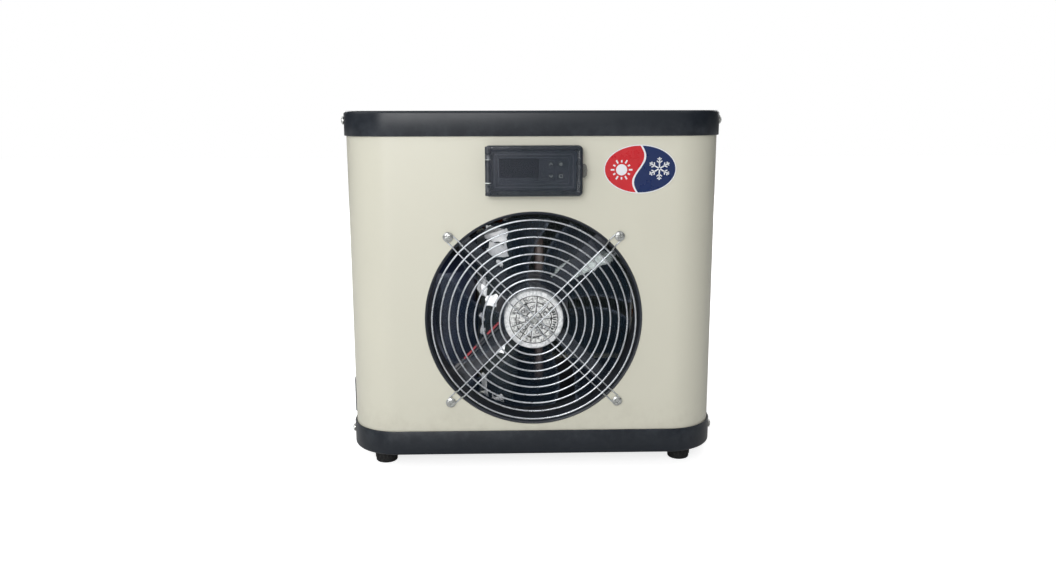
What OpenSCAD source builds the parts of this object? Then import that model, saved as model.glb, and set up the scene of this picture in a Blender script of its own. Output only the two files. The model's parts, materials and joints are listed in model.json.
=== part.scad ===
// Compact pool heat pump: a wrapped sheet-metal casing between a base tray and a top cover,
// with a guarded axial fan in front, a flip-cover control box, and the refrigerant circuit inside.
// Frame: +Z up, the fan side faces -Y, +X to the right of someone facing the fan.
// Origin: centre of the whole unit's outline, on the floor under the feet.

/* [Casing] */
// Width of the cream casing, mm
body_w = 360; // [360:1:400]
// Depth of the cream casing, front face to rear panel, mm
body_d = 262; // [262:1:300]
// Height of the whole unit, mm
unit_h = 350; // [350:1:380]
// Radius of the upright casing corners, mm
corner_r = 46; // [36:1:46]
// Sheet thickness of the casing, mm
sheet = 1.2; // [1:0.1:1.5]
// How far the top cover and the tray stand out past the casing, mm
overhang = 2; // [2:0.1:3]
// Height of the top cover's skirt, mm
lid_h = 23.4; // [22:0.2:25]
// Height of the base tray, mm
tray_h = 24.5; // [22:0.5:26]
// Height of the rubber feet, mm
foot_h = 16; // [15:1:18]

/* [Fan] */
// Fan centre, left or right of the casing's middle, mm
fan_x = 0; // [-3:0.5:3]
// Fan centre above the floor, mm
fan_z = 151.6; // [151:0.2:155]
// Radius of the round opening in the front panel, mm
opening_r = 104.9; // [104:0.1:105.5]
// Number of wire rings on the guard
ring_count = 9; // [7:1:9]
// Radius of the outermost guard ring, mm
ring_outer_r = 97.6; // [95:0.2:98]
// Radius of the innermost guard ring, mm
ring_inner_r = 33; // [32:0.5:36]
// Distance from the fan centre to each guard screw, mm
guard_screw_r = 115; // [114:0.5:115.5]
// Number of fan blades
blade_count = 5; // [3:1:5]
// Radius of the silver outer-rotor motor, mm
rotor_r = 28.7; // [26:0.1:29]

/* [Control box] */
// Width of the control box, mm
ctrl_w = 90.2; // [88:0.2:92]
// Height of the control box, mm
ctrl_h = 46.6; // [44:0.2:47]
// Middle of the control box, left or right of the casing's middle, mm
ctrl_x = -0.2; // [-3:0.2:3]
// Middle of the control box above the floor, mm
ctrl_z = 295.1; // [294.5:0.2:297.5]
// How far the closed flip cover stands out from the front panel, mm
ctrl_proud = 16; // [15:0.5:17]

/* [Badge] */
// Width of the oval badge, mm
badge_w = 68; // [50:0.5:68]
// Height of the oval badge, mm
badge_h = 45.4; // [30:0.2:46]

/* [Water] */
// Outside radius of each hose tail, mm
tail_r = 19; // [16:0.5:19]
// How far the hose tails stand out behind the rear panel, mm
tail_reach = 50; // [48:1:60]

/* [Hidden] */
$fn = 64;

// Colours
cream = [0.83, 0.82, 0.75];
anthracite = [0.13, 0.14, 0.16];
black = [0.05, 0.05, 0.06];
steel = [0.75, 0.76, 0.78];
copper = [0.72, 0.43, 0.25];

// The frame: the front face of the casing sits at front_y, the rear face at rear_y
front_y = -(body_d + tail_reach + ctrl_proud) / 2 + ctrl_proud;
rear_y = front_y + body_d;
tray_top = foot_h + tray_h;
lid_bottom = unit_h - lid_h;
cap_w = body_w + 2 * overhang;
cap_d = body_d + 2 * overhang;
cap_r = corner_r + overhang;
skin = 1.7;             // wall of the top cover and the tray
tray_floor = 2;         // floor of the tray
gap = 0.3;              // clear gap between neighbouring pieces
floor_z = foot_h + tray_floor;

// Screws in the side walls of the top cover and the tray
cap_screw_inset = 42;   // from the casing's front and rear faces
cap_screw_r = 2;
cap_screw_head_r = 4;
cap_screw_head = 2.4;

// Feet
foot_r = 12;
foot_tip_r = 10;
foot_edge = 2.5;
foot_recess_r = 5;
foot_recess_h = 8;
foot_x = 149.3;
foot_inset = 30;
bolt_r = 2.5;

// Rear panel
rear_open_x = 42;       // middle of the coil opening
rear_open_w = 156;
rear_open_z = 168;
rear_open_h = 216;
rear_half_w = body_w / 2 - corner_r;

// Fan parts, as depths behind the casing's front face
guard_ring_wire = 0.85;
guard_spoke_wire = 0.65;
ring_depth = -5.5;
eye_depth = -guard_spoke_wire - 0.1;
twin = 4;               // half the distance between the twin spoke wires
shroud_r = 102;
shroud_wall = 2;
shroud_len = 45;
shroud_flange_r = 120;
shroud_flange = 3;
blade_tip_r = 97.5;
blade_front = 9;
blade_depth = 30;
hub_sleeve = 1.8;
rotor_front = 1.5;
rotor_len = 45;
shaft_r = 4;
bracket_depth = 58.5;
bracket_sheet = 2.5;

// Control box
housing_depth = 10;
cover_depth = ctrl_proud - housing_depth - gap;
cover_wall = 1.6;
hinge_r = cover_depth / 2;
hinge_x = ctrl_x - ctrl_w / 2 + hinge_r;
hinge_depth = -(housing_depth + gap + hinge_r);
knuckle_h = 20.2;
knuckle_z = ctrl_z - 2;
lug_h = 7;
pin_r = 0.9;
ctrl_corner = 4;
bezel_w = 79.6;
bezel_h = 36.6;
bezel_depth = 7.6;
can_w = 70.6;
can_h = 28.6;
can_len = 52;
button_r = 2.7;
button_x = 20.3;
button_z = 295.7;
button_dx = 4.6;
button_dz = 5.5;
button_travel = 0.6;
display_w = 38;
display_h = 18;
display_x = -14;
latch_w = 4.6;
latch_h = 15;

// Water connections on the rear panel
water_x = -104;
outlet_z = 234;
inlet_z = 104;
port_bore = 15;
port_flange_r = 27;
port_nut_r = 26;
nut_r = 29;
nut_len = 20;
nut_start = 6;
collar_r = 23;
collar = 4;
tail_neck = 0.2;         // how much thinner the tail is where the nut turns round it

// Machinery inside
comp_x = water_x;
comp_y = front_y + 111;
comp_r = 45;
comp_h = 150;
comp_base = floor_z + 14;
stud_r = 3;
shell_y = rear_y - 56;
shell_r = 44;
shell_wall = 3;
shell_bottom = floor_z + 22;
shell_h = 232;
coil_x = 42;
coil_w = 168;
coil_h = 230;
coil_t = 28;
coil_y = rear_y - 26;
coil_z = 168;
pipe_r = 4.8;
pipe_bend = 12;
thin_pipe_r = 3.2;
thin_bend = 10;
acc_x = -34;
acc_r = 19;
acc_h = 110;
acc_bottom = comp_base + 30;
drier_x = -38;
drier_z = 95;
drier_h = 76;
liquid_z = 75;
box_x = 98;
box_w = 134;
box_d = 130;
box_h = 56;
box_z = 264;
box_y = front_y + 142;

// Gland in the rear panel
gland_x = 100;
gland_z = 304;
gland_bore = 4.5;
gland_r = 10;

// ---------- shared shapes ----------

// Outline with four round corners, centred
module rounded_rect(w, d, r) {
    square([w - 2 * r, d], center = true);
    square([w, d - 2 * r], center = true);
    for (sx = [-1, 1], sy = [-1, 1])
        translate([sx * (w / 2 - r), sy * (d / 2 - r)]) circle(r);
}

// Upright slab with round corners, over the casing's middle
module casing_slab(w, d, r, z0, z1) {
    translate([0, (front_y + rear_y) / 2, z0])
        linear_extrude(z1 - z0) rounded_rect(w, d, r);
}

// Places a shape that is drawn along +Z so that it points into the casing, at a depth from the front
module into_front(x, z, depth) {
    translate([x, front_y + depth, z]) rotate([-90, 0, 0]) children();
}

// The same at the rear panel, pointing out of the casing
module out_of_rear(x, z, reach) {
    translate([x, rear_y + reach, z]) rotate([-90, 0, 0]) children();
}

// Tube along +Z
module tube(r_out, r_in, h) {
    rotate_extrude() translate([r_in, 0]) square([r_out - r_in, h]);
}

// Ring of round wire about Z
module wire_ring(r, wire) {
    rotate_extrude() translate([r, 0]) circle(wire, $fn = 24);
}

// Pan-head screw: the head's underside is at z = 0 and the shank points along +Z
module pan_screw(shank_r, shank_len, head_r, head) {
    rotate_extrude() polygon([
        [0, -head], [head_r * 0.62, -head], [head_r * 0.9, -head * 0.72], [head_r, -head * 0.3],
        [head_r, 0], [shank_r, 0], [shank_r, shank_len - 0.6], [shank_r - 0.6, shank_len],
        [0, shank_len]
    ]);
}

// Quarter bend of a pipe: starts at the origin along +Z and ends along +X
module quarter_bend(r, bend) {
    translate([bend, 0, 0]) rotate([90, 0, 180])
        rotate_extrude(angle = 90) translate([bend, 0]) circle(r, $fn = 24);
}

// Pipe made of straights and quarter bends. Each step is [straight length, turn about the pipe].
// Every step but the last ends in a quarter bend towards its turn.
module pipe_run(steps, r, bend, i = 0) {
    len_i = steps[i][0];
    cylinder(r = r, h = len_i, $fn = 24);
    if (i < len(steps) - 1)
        translate([0, 0, len_i]) rotate([0, 0, steps[i][1]]) {
            quarter_bend(r, bend);
            translate([bend, 0, bend]) rotate([0, 90, 0]) pipe_run(steps, r, bend, i + 1);
        }
}

// Four screw places on the side walls, at one height
module at_side_screws(z) {
    for (side = [-1, 1], y = [front_y + cap_screw_inset, rear_y - cap_screw_inset])
        translate([side * cap_w / 2, y, z]) rotate([0, side * -90, 0]) children();
}

// ---------- casing ----------

lid_screw_z = lid_bottom + lid_h * 0.62;
tray_screw_z = foot_h + tray_h * 0.61;

module top_cover() {
    color(anthracite) difference() {
        casing_slab(cap_w, cap_d, cap_r, lid_bottom, unit_h);
        casing_slab(cap_w - 2 * skin, cap_d - 2 * skin, cap_r - skin, lid_bottom - 1, unit_h - 2.5);
        at_side_screws(lid_screw_z) translate([0, 0, -1]) cylinder(r = cap_screw_r + 0.1, h = 6);
    }
}

module body_wrap() {
    color(cream) difference() {
        casing_slab(body_w, body_d, corner_r, floor_z + gap, unit_h - 3);
        casing_slab(body_w - 2 * sheet, body_d - 2 * sheet, corner_r - sheet, foot_h, unit_h);
        into_front(fan_x, fan_z, -1) cylinder(r = opening_r, h = 4);
        translate([ctrl_x - can_w / 2 - 0.5, front_y - 1, ctrl_z - can_h / 2 - 0.5])
            cube([can_w + 1, 4, can_h + 1]);
        at_guard_screws(-1) cylinder(r = 2.2, h = 4);
        at_side_screws(lid_screw_z) translate([0, 0, -1]) cylinder(r = cap_screw_r + 0.1, h = 6);
        at_side_screws(tray_screw_z) translate([0, 0, -1]) cylinder(r = cap_screw_r + 0.1, h = 6);
        translate([-rear_half_w, rear_y - 4, 0]) cube([2 * rear_half_w, 6, unit_h]);
    }
}

// Rear panel: a flat plate between the casing's rear corners, with a joggled strip behind each edge
rear_screw_x = rear_half_w - 5;
rear_screw_zs = [60, 178, 300];
strip_in = 7;           // how far each strip reaches in front of the panel's edge
strip_out = 4;          // and past it, behind the casing's own edge
module rear_panel() {
    panel_bottom = tray_top + 1;
    panel_top = lid_bottom - 1;
    color(cream) difference() {
        union() {
            translate([-rear_half_w + gap, rear_y - sheet, floor_z + gap])
                cube([2 * (rear_half_w - gap), sheet, unit_h - 3 - floor_z - gap]);
            for (side = [0, 1]) mirror([side, 0, 0]) {
                translate([rear_half_w - strip_in, rear_y - 2 * sheet - gap, panel_bottom])
                    cube([strip_in + strip_out, sheet, panel_top - panel_bottom]);
                translate([rear_half_w - strip_in, rear_y - 2 * sheet, panel_bottom])
                    cube([strip_in - gap, sheet, panel_top - panel_bottom]);
            }
        }
        translate([rear_open_x - rear_open_w / 2, rear_y - 5, rear_open_z - rear_open_h / 2])
            cube([rear_open_w, 8, rear_open_h]);
        for (z = [inlet_z, outlet_z]) out_of_rear(water_x, z, -4) cylinder(r = tail_r - 0.6, h = 8);
        out_of_rear(gland_x, gland_z, -4) cylinder(r = gland_r - 1.8, h = 8);
        at_rear_screws(-4) cylinder(r = 1.9, h = 8);
    }
}

module at_rear_screws(reach) {
    for (side = [-1, 1], z = rear_screw_zs) out_of_rear(side * rear_screw_x, z, reach) children();
}

module rear_screws() {
    color(steel) at_rear_screws(0) rotate([180, 0, 0]) pan_screw(1.8, 8, 3.4, 1.9);
}

// Wire grille over the coil opening, held in a flat frame
grille_rim = 6;
grille_t = 2;
grille_bar = 1.6;
grille_pitch = 8;
module rear_grille() {
    w = rear_open_w + 8;
    h = rear_open_h + 8;
    color(black) out_of_rear(rear_open_x, rear_open_z, gap / 3) {
        linear_extrude(grille_t) difference() {
            square([w, h], center = true);
            square([w - 2 * grille_rim, h - 2 * grille_rim], center = true);
        }
        bars = floor((w - 2 * grille_rim) / grille_pitch / 2);
        for (i = [-bars:bars])
            translate([i * grille_pitch - grille_bar / 2, -h / 2 + grille_rim, 0.2])
                cube([grille_bar, h - 2 * grille_rim, grille_bar]);
        for (i = [-2:2])
            translate([-w / 2 + grille_rim, i * h / 6 - grille_bar, 0.2])
                cube([w - 2 * grille_rim, 2 * grille_bar, grille_bar]);
    }
}

module base_tray() {
    color(anthracite) difference() {
        casing_slab(cap_w, cap_d, cap_r, foot_h, tray_top);
        casing_slab(cap_w - 2 * skin, cap_d - 2 * skin, cap_r - skin, floor_z, tray_top + 1);
        at_side_screws(tray_screw_z) translate([0, 0, -1]) cylinder(r = cap_screw_r + 0.1, h = 6);
        at_feet() cylinder(r = bolt_r + 0.2, h = 2 * foot_h);
        translate([drain_x, drain_y, foot_h - 1]) cylinder(r = drain_neck + 0.1, h = 6);
        at_studs() translate([0, 0, foot_h - 1]) cylinder(r = stud_r + 0.1, h = 6);
    }
}

module at_feet() {
    for (x = [-foot_x, foot_x], y = [front_y + foot_inset, rear_y - foot_inset])
        translate([x, y, 0]) children();
}

// Rubber foot: a tapered puck with a rounded lower edge and a recess for its bolt head
module feet() {
    top = foot_h - gap / 3;
    flat_r = foot_tip_r - foot_edge;
    color(black) at_feet() rotate_extrude() difference() {
        union() {
            polygon([[0, 0], [flat_r, 0], [foot_tip_r, foot_edge], [foot_r, top], [0, top]]);
            translate([flat_r, foot_edge]) intersection() {
                circle(foot_edge, $fn = 48);
                translate([0, -foot_edge]) square(foot_edge);
            }
        }
        translate([-1, -1]) square([bolt_r + 0.2 + 1, foot_h + 2]);
        translate([-1, -1]) square([foot_recess_r + 1, foot_recess_h + 1]);
    }
}

module foot_bolts() {
    head_z = foot_recess_h - 3;
    color(steel) at_feet() {
        translate([0, 0, head_z]) cylinder(r = foot_recess_r - 0.5, h = 3 - gap / 3, $fn = 6);
        translate([0, 0, head_z]) cylinder(r = bolt_r, h = floor_z + 6 - head_z, $fn = 32);
        translate([0, 0, floor_z + gap / 3]) difference() {
            cylinder(r = 4.6, h = 4, $fn = 6);
            translate([0, 0, -1]) cylinder(r = bolt_r + 0.01, h = 6, $fn = 32);
        }
    }
}

module lid_screws() {
    color(steel) at_side_screws(lid_screw_z) pan_screw(cap_screw_r, 8, cap_screw_head_r, cap_screw_head);
}

module tray_screws() {
    color(steel) at_side_screws(tray_screw_z) pan_screw(cap_screw_r, 8, cap_screw_head_r, cap_screw_head);
}

// Dark cover plate low on the left side wall, over the wiring entry
module side_plate() {
    color([0.35, 0.36, 0.38]) translate([-body_w / 2 - 1.4, front_y + 82, tray_top + 23.5])
        rotate([90, 0, 90]) linear_extrude(1.3) rounded_rect(70, 37, 3);
}

module rating_plate() {
    color(steel) out_of_rear(water_x + 20, (inlet_z + outlet_z) / 2, gap / 3) linear_extrude(0.5) rounded_rect(60, 34, 3);
}

// ---------- fan ----------

// Children are drawn along +Z, which points into the casing
module at_guard_screws(depth) {
    for (a = [45, 135, 225, 315])
        into_front(fan_x + guard_screw_r * cos(a), fan_z + guard_screw_r * sin(a), depth) children();
}

module fan_shroud() {
    color(black) difference() {
        into_front(fan_x, fan_z, sheet + gap / 3) {
            tube(shroud_flange_r, shroud_r, shroud_flange);
            tube(shroud_r + shroud_wall, shroud_r, shroud_len);
            translate([0, 0, shroud_len - 3]) tube(shroud_r + 8, shroud_r, 3);
        }
        at_guard_screws(0) cylinder(r = 2.2, h = 8);
    }
}

ring_pitch = (ring_outer_r - ring_inner_r) / (ring_count - 1);
module guard_rings() {
    color(steel) into_front(fan_x, fan_z, ring_depth)
        for (i = [0:ring_count - 1]) wire_ring(ring_inner_r + i * ring_pitch, guard_ring_wire);
}

// Straight wire from [x, depth] to [x, depth] in the plane of one spoke, at a sideways offset
module spoke_wire(from, to, side) {
    run = to[0] - from[0];
    drop = to[1] - from[1];
    length = sqrt(run * run + drop * drop);
    translate([from[0], side, from[1]]) rotate([0, 90 - atan2(drop, run), 0])
        cylinder(r = guard_spoke_wire, h = length, $fn = 24);
}

// Long wire loop: twin wires straight across the guard at one depth, bent back to the panel at
// both ends, each end closed round a screw
module spoke_loop(depth) {
    bend_out = ring_outer_r + 1.5;
    bend_in = ring_outer_r + 8.5;
    for (side = [-twin, twin]) {
        spoke_wire([-bend_out, depth], [bend_out, depth], side);
        for (end = [0, 180]) rotate([0, 0, end]) {
            spoke_wire([bend_out, depth], [bend_in, eye_depth], side);
            spoke_wire([bend_in, eye_depth], [guard_screw_r, eye_depth], side);
            for (joint = [[bend_out, depth], [bend_in, eye_depth]])
                translate([joint[0], side, joint[1]]) sphere(guard_spoke_wire + 0.05, $fn = 24);
        }
    }
    for (end = [0, 180]) rotate([0, 0, end]) translate([guard_screw_r, 0, eye_depth])
        rotate([0, 0, -90]) rotate_extrude(angle = 180) translate([twin, 0])
            circle(guard_spoke_wire, $fn = 24);
}

// Two loops cross at the middle: one runs behind the rings, the other in front of them
module guard_spokes() {
    reach = guard_ring_wire + guard_spoke_wire;
    color(steel) {
        into_front(fan_x, fan_z, 0) rotate([0, 0, 45]) spoke_loop(ring_depth + reach);
        into_front(fan_x, fan_z, 0) rotate([0, 0, 135]) spoke_loop(ring_depth - reach);
    }
}

module guard_screws() {
    color(steel) at_guard_screws(eye_depth - guard_spoke_wire - 0.1) pan_screw(2, 12, 4.8, 2.2);
}

// One blade: a sector of the swept ring, kept only where it meets a thin curved shell set at a pitch
blade_shell_r = 140;
blade_t = 1.6;
blade_pitch = 28;
blade_half_angle = 30;
blade_camber = 2;
module blade() {
    root = rotor_r + hub_sleeve - 0.4;
    reach = 2 * blade_tip_r;
    intersection() {
        linear_extrude(blade_depth) intersection() {
            difference() {
                circle(blade_tip_r);
                circle(root);
            }
            polygon([
                [0, 0], [reach * cos(blade_half_angle), -reach * sin(blade_half_angle)],
                [reach * cos(blade_half_angle), reach * sin(blade_half_angle)]
            ]);
        }
        translate([0, 0, blade_depth / 2]) rotate([blade_pitch, 0, 0])
            translate([0, 0, blade_camber - blade_shell_r]) rotate([0, 90, 0])
                tube(blade_shell_r, blade_shell_r - blade_t, blade_tip_r + 10);
    }
}

module fan_blades() {
    color(black) into_front(fan_x, fan_z, blade_front) {
        tube(rotor_r + hub_sleeve, rotor_r + 0.02, blade_depth);
        for (i = [0:blade_count - 1]) rotate([0, 0, i * 360 / blade_count + 20]) blade();
    }
}

// Silver outer rotor: a closed can with ribs on its face
module rotor_can() {
    color(steel) into_front(fan_x, fan_z, rotor_front) {
        difference() {
            cylinder(r = rotor_r, h = rotor_len);
            translate([0, 0, 4]) cylinder(r = rotor_r - 2, h = rotor_len);
            translate([0, 0, -1]) tube(rotor_r - 5, rotor_r - 8, 1.8);
            translate([0, 0, -1]) tube(15, 12, 1.8);
            translate([0, 0, -1]) cylinder(r = shaft_r + 0.02, h = 10);
        }
    }
}

module motor_shaft() {
    color(steel) into_front(fan_x, fan_z, rotor_front + 1) cylinder(r = shaft_r, h = 52);
}

// Stator inside the rotor, with the motor's back plate behind it
module motor_stator() {
    plate = rotor_front + rotor_len + 0.5;
    color([0.3, 0.3, 0.32]) into_front(fan_x, fan_z, 0) difference() {
        union() {
            translate([0, 0, rotor_front + 8]) cylinder(r = rotor_r - 3, h = plate - rotor_front - 8);
            translate([0, 0, plate]) cylinder(r = rotor_r + 6, h = bracket_depth - gap / 3 - plate);
        }
        cylinder(r = shaft_r + 0.05, h = bracket_depth + 1);
        at_motor_screws() translate([0, 0, plate + 2]) cylinder(r = 2.02, h = 20);
    }
}

// Four-armed bracket across the back of the shroud
bracket_leg = bracket_depth - shroud_len - sheet - 2 * gap / 3;
module motor_bracket() {
    color(black) into_front(fan_x, fan_z, bracket_depth) difference() {
        union() {
            cylinder(r = rotor_r + 8, h = bracket_sheet);
            for (a = [45, 135]) rotate([0, 0, a])
                translate([-shroud_r - 7, -7, 0]) cube([2 * shroud_r + 14, 14, bracket_sheet]);
            for (a = [45:90:315]) rotate([0, 0, a])
                translate([shroud_r + 1, -7, -bracket_leg]) cube([6, 14, bracket_leg + 1]);
        }
        translate([0, 0, -1]) cylinder(r = shaft_r + 1.5, h = 6);
        at_motor_screws() translate([0, 0, -1]) cylinder(r = 2.1, h = 6);
    }
}

module at_motor_screws() {
    for (a = [0:90:270]) rotate([0, 0, a]) translate([rotor_r + 2.8, 0, 0]) children();
}

module motor_screws() {
    color(steel) into_front(fan_x, fan_z, bracket_depth + bracket_sheet)
        at_motor_screws() rotate([180, 0, 0]) pan_screw(2, 6, 3.2, 2);
}

// Twin leads from the motor down to the left, in front of the bracket
lead_r = 1.1;
module fan_leads() {
    for (i = [0, 1]) color(i == 0 ? "red" : "black")
        into_front(fan_x, fan_z, bracket_depth - 4) rotate([0, 0, 135])
            translate([0, -2 + i * 3, 0]) rotate([0, 90, 0])
                translate([0, 0, rotor_r + 6.4]) cylinder(r = lead_r, h = 60, $fn = 24);
}

// ---------- badge ----------

// Thin oval plate right of the control box
badge_x = 99.7;
badge_z = 295.8;
badge_t = 0.6;
module badge() {
    steps = 72;
    oval = [for (i = [0:steps - 1]) [badge_w / 2 * cos(i * 360 / steps), badge_h / 2 * sin(i * 360 / steps)]];
    color([0.15, 0.35, 0.6]) on_front(badge_x, badge_z, gap / 3) linear_extrude(badge_t) polygon(oval);
}

// ---------- control box ----------

// Children are drawn in X and Z seen from the front, and stand out of the front panel
module on_front(x, z, depth) {
    translate([x, front_y - depth, z]) rotate([90, 0, 0]) children();
}

// Frame round the controller, with the two hinge lugs on its left edge
module control_housing() {
    color(black) difference() {
        union() {
            on_front(ctrl_x, ctrl_z, gap / 3) linear_extrude(housing_depth - gap / 3) difference() {
                rounded_rect(ctrl_w, ctrl_h, ctrl_corner);
                square([bezel_w + 2 * gap, bezel_h + 2 * gap], center = true);
            }
            for (s = [-1, 1]) at_lug(s) {
                cylinder(r = hinge_r, h = lug_h);
                translate([-hinge_r, 0, 0]) cube([2 * hinge_r, hinge_r + gap + 1, lug_h]);
            }
        }
        translate([hinge_x, front_y + hinge_depth, ctrl_z - ctrl_h]) cylinder(r = pin_r + 0.02, h = 2 * ctrl_h);
    }
}

module at_lug(s) {
    translate([hinge_x, front_y + hinge_depth, knuckle_z + s * (knuckle_h / 2 + gap + lug_h / 2) - lug_h / 2])
        children();
}

// Smoked flip cover: a shallow tray whose left edge is rounded about the hinge pin
module flip_cover() {
    lug_zone = lug_h + 2 * gap;
    color([0.1, 0.11, 0.13, 0.85]) difference() {
        union() {
            difference() {
                on_front(ctrl_x, ctrl_z, housing_depth + gap) linear_extrude(cover_depth)
                    intersection() {
                        rounded_rect(ctrl_w, ctrl_h, ctrl_corner);
                        translate([hinge_r, 0]) square([ctrl_w, ctrl_h], center = true);
                    }
                on_front(ctrl_x + hinge_r, ctrl_z, housing_depth + gap - 1)
                    linear_extrude(cover_depth - cover_wall + 1)
                        rounded_rect(ctrl_w - 2 * hinge_r - 4 * cover_wall, ctrl_h - 2 * cover_wall,
                            ctrl_corner - cover_wall);
            }
            translate([hinge_x, front_y + hinge_depth, ctrl_z - ctrl_h / 2 + ctrl_corner])
                cylinder(r = hinge_r, h = ctrl_h - 2 * ctrl_corner);
            // Thumb tab on the free edge
            on_front(ctrl_x + ctrl_w / 2 - 1, ctrl_z + 0.3, housing_depth + gap) linear_extrude(3)
                intersection() {
                    translate([-4.9, 0]) circle(10.4);
                    translate([0, -latch_h / 2]) square([latch_w + 1, latch_h]);
                }
        }
        for (s = [-1, 1]) at_lug(s) translate([-hinge_r - 1, -hinge_r - 1, -gap])
            cube([2 * hinge_r + 1.6, 2 * hinge_r + 2, lug_zone]);
        translate([hinge_x, front_y + hinge_depth, ctrl_z - ctrl_h]) cylinder(r = pin_r + 0.05, h = 2 * ctrl_h);
    }
}

module hinge_pin() {
    h = knuckle_h + 2 * gap + 2 * lug_h;
    color(steel) translate([hinge_x, front_y + hinge_depth, knuckle_z - h / 2])
        cylinder(r = pin_r, h = h, $fn = 32);
}

// Panel-mounted controller: bezel in front of the sheet, can behind it
module controller_body() {
    color([0.08, 0.08, 0.09]) difference() {
        union() {
            on_front(ctrl_x, ctrl_z, gap / 3) linear_extrude(bezel_depth) rounded_rect(bezel_w, bezel_h, 2);
            translate([ctrl_x - can_w / 2, front_y - 1, ctrl_z - can_h / 2]) cube([can_w, can_len + 1, can_h]);
        }
        on_front(ctrl_x + display_x, ctrl_z + 2.5, bezel_depth - 0.9)
            linear_extrude(2) square([display_w + 0.2, display_h + 0.2], center = true);
        for (i = [0:3]) at_button(i) translate([0, 0, -4]) cylinder(r = button_r + 0.15, h = 6);
    }
}

module display_window() {
    color([0.03, 0.03, 0.04]) on_front(ctrl_x + display_x, ctrl_z + 2.5, bezel_depth - 0.8)
        linear_extrude(0.9) square([display_w, display_h], center = true);
}

// Button centres, drawn along +Z out of the bezel: 0 upper left, 1 upper right, 2 lower left, 3 lower right
module at_button(i) {
    on_front(button_x + (i % 2 == 0 ? -1 : 1) * button_dx, button_z + (i < 2 ? 1 : -1) * button_dz,
        bezel_depth + gap / 3) children();
}

module button(i) {
    color([0.35, 0.36, 0.38]) at_button(i) translate([0, 0, -3 + button_travel]) {
        cylinder(r = button_r, h = 3.3);
        translate([0, 0, 3.3]) cylinder(r1 = button_r, r2 = button_r - 0.4, h = 0.4, $fn = 48);
    }
}

module button_up() { button(0); }
module button_power() { button(1); }
module button_down() { button(2); }
module button_set() { button(3); }

// ---------- rear connections ----------

// Port: a pipe from the exchanger through the rear panel, with a flange on each side of the sheet
module water_port(z) {
    start = -(rear_y - shell_y) + shell_r - 1;
    out_of_rear(water_x, z, 0) difference() {
        union() {
            translate([0, 0, start]) cylinder(r = tail_r - 1, h = 16 - start);
            translate([0, 0, gap / 3]) cylinder(r = port_flange_r, h = 4);
            translate([0, 0, gap / 3]) cylinder(r = tail_r + 3, h = 14);
            translate([0, 0, -sheet - gap / 3 - 4]) rotate([0, 0, 30]) cylinder(r = port_nut_r, h = 4, $fn = 6);
        }
        translate([0, 0, start - 1]) cylinder(r = port_bore, h = 40 - start);
    }
}

module inlet_port() { color("dimgray") water_port(inlet_z); }
module outlet_port() { color("dimgray") water_port(outlet_z); }

// Union nut: grips the tail's collar and turns freely round it
module union_nut(z) {
    out_of_rear(water_x, z, nut_start) difference() {
        union() {
            cylinder(r = nut_r, h = nut_len);
            for (i = [0:11]) rotate([0, 0, i * 30]) translate([nut_r, 0, 1.5])
                cylinder(r = 1.6, h = nut_len - 3, $fn = 24);
        }
        translate([0, 0, -1]) cylinder(r = collar_r + 0.5, h = nut_len - 2);
        translate([0, 0, -1]) cylinder(r = tail_r + 0.6, h = nut_len + 2);
    }
}

module inlet_nut() { color("dimgray") union_nut(inlet_z); }
module outlet_nut() { color("dimgray") union_nut(outlet_z); }

// Hose tail: a collar held by the nut and a smooth spigot behind it
module hose_tail(z) {
    start = 16 + gap / 3;
    nut_end = nut_start + nut_len + 0.5;
    out_of_rear(water_x, z, 0) rotate_extrude() polygon([
        [port_bore, start], [collar_r, start], [collar_r, start + collar],
        [tail_r - tail_neck, start + collar], [tail_r - tail_neck, nut_end], [tail_r, nut_end],
        [tail_r, tail_reach - 2], [tail_r - 1.5, tail_reach], [port_bore, tail_reach]
    ]);
}

module inlet_tail() { color("dimgray") hose_tail(inlet_z); }
module outlet_tail() { color("dimgray") hose_tail(outlet_z); }

module cable_gland() {
    color(black) out_of_rear(gland_x, gland_z, 0) difference() {
        union() {
            translate([0, 0, -8]) cylinder(r = gland_r - 2, h = 10);
            translate([0, 0, gap / 3]) cylinder(r = gland_r + 2, h = 5, $fn = 6);
            translate([0, 0, 5]) cylinder(r = gland_r, h = 7);
            translate([0, 0, 12]) cylinder(r1 = gland_r, r2 = gland_r - 3.5, h = 5);
        }
        translate([0, 0, -10]) cylinder(r = gland_bore, h = 40);
    }
}

module gland_nut() {
    color(black) out_of_rear(gland_x, gland_z, -sheet - gap / 3 - 4) difference() {
        cylinder(r = gland_r + 2, h = 4, $fn = 6);
        translate([0, 0, -1]) cylinder(r = gland_r - 1.9, h = 6);
    }
}

// Condensate spout through the tray floor
drain_x = 100;
drain_y = rear_y - 44;
drain_neck = 6;
drain_r = 8;
drain_tip = 3;          // lower end above the floor
module drain_spout() {
    color(black) translate([drain_x, drain_y, 0]) difference() {
        union() {
            translate([0, 0, floor_z + gap / 3]) cylinder(r = 13, h = 2.5);
            translate([0, 0, foot_h - 3]) cylinder(r = drain_neck, h = 6);
            translate([0, 0, drain_tip]) cylinder(r = drain_r, h = foot_h - drain_tip - gap / 3);
        }
        cylinder(r = 4, h = 40);
    }
}

// ---------- refrigerant circuit ----------

// Three mounting studs round the compressor, as offsets from its axis
stud_places = [[50, 29], [-50, 29], [0, -58]];
module at_studs() {
    for (place = stud_places) translate([comp_x + place[0], comp_y + place[1], 0]) children();
}

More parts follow.
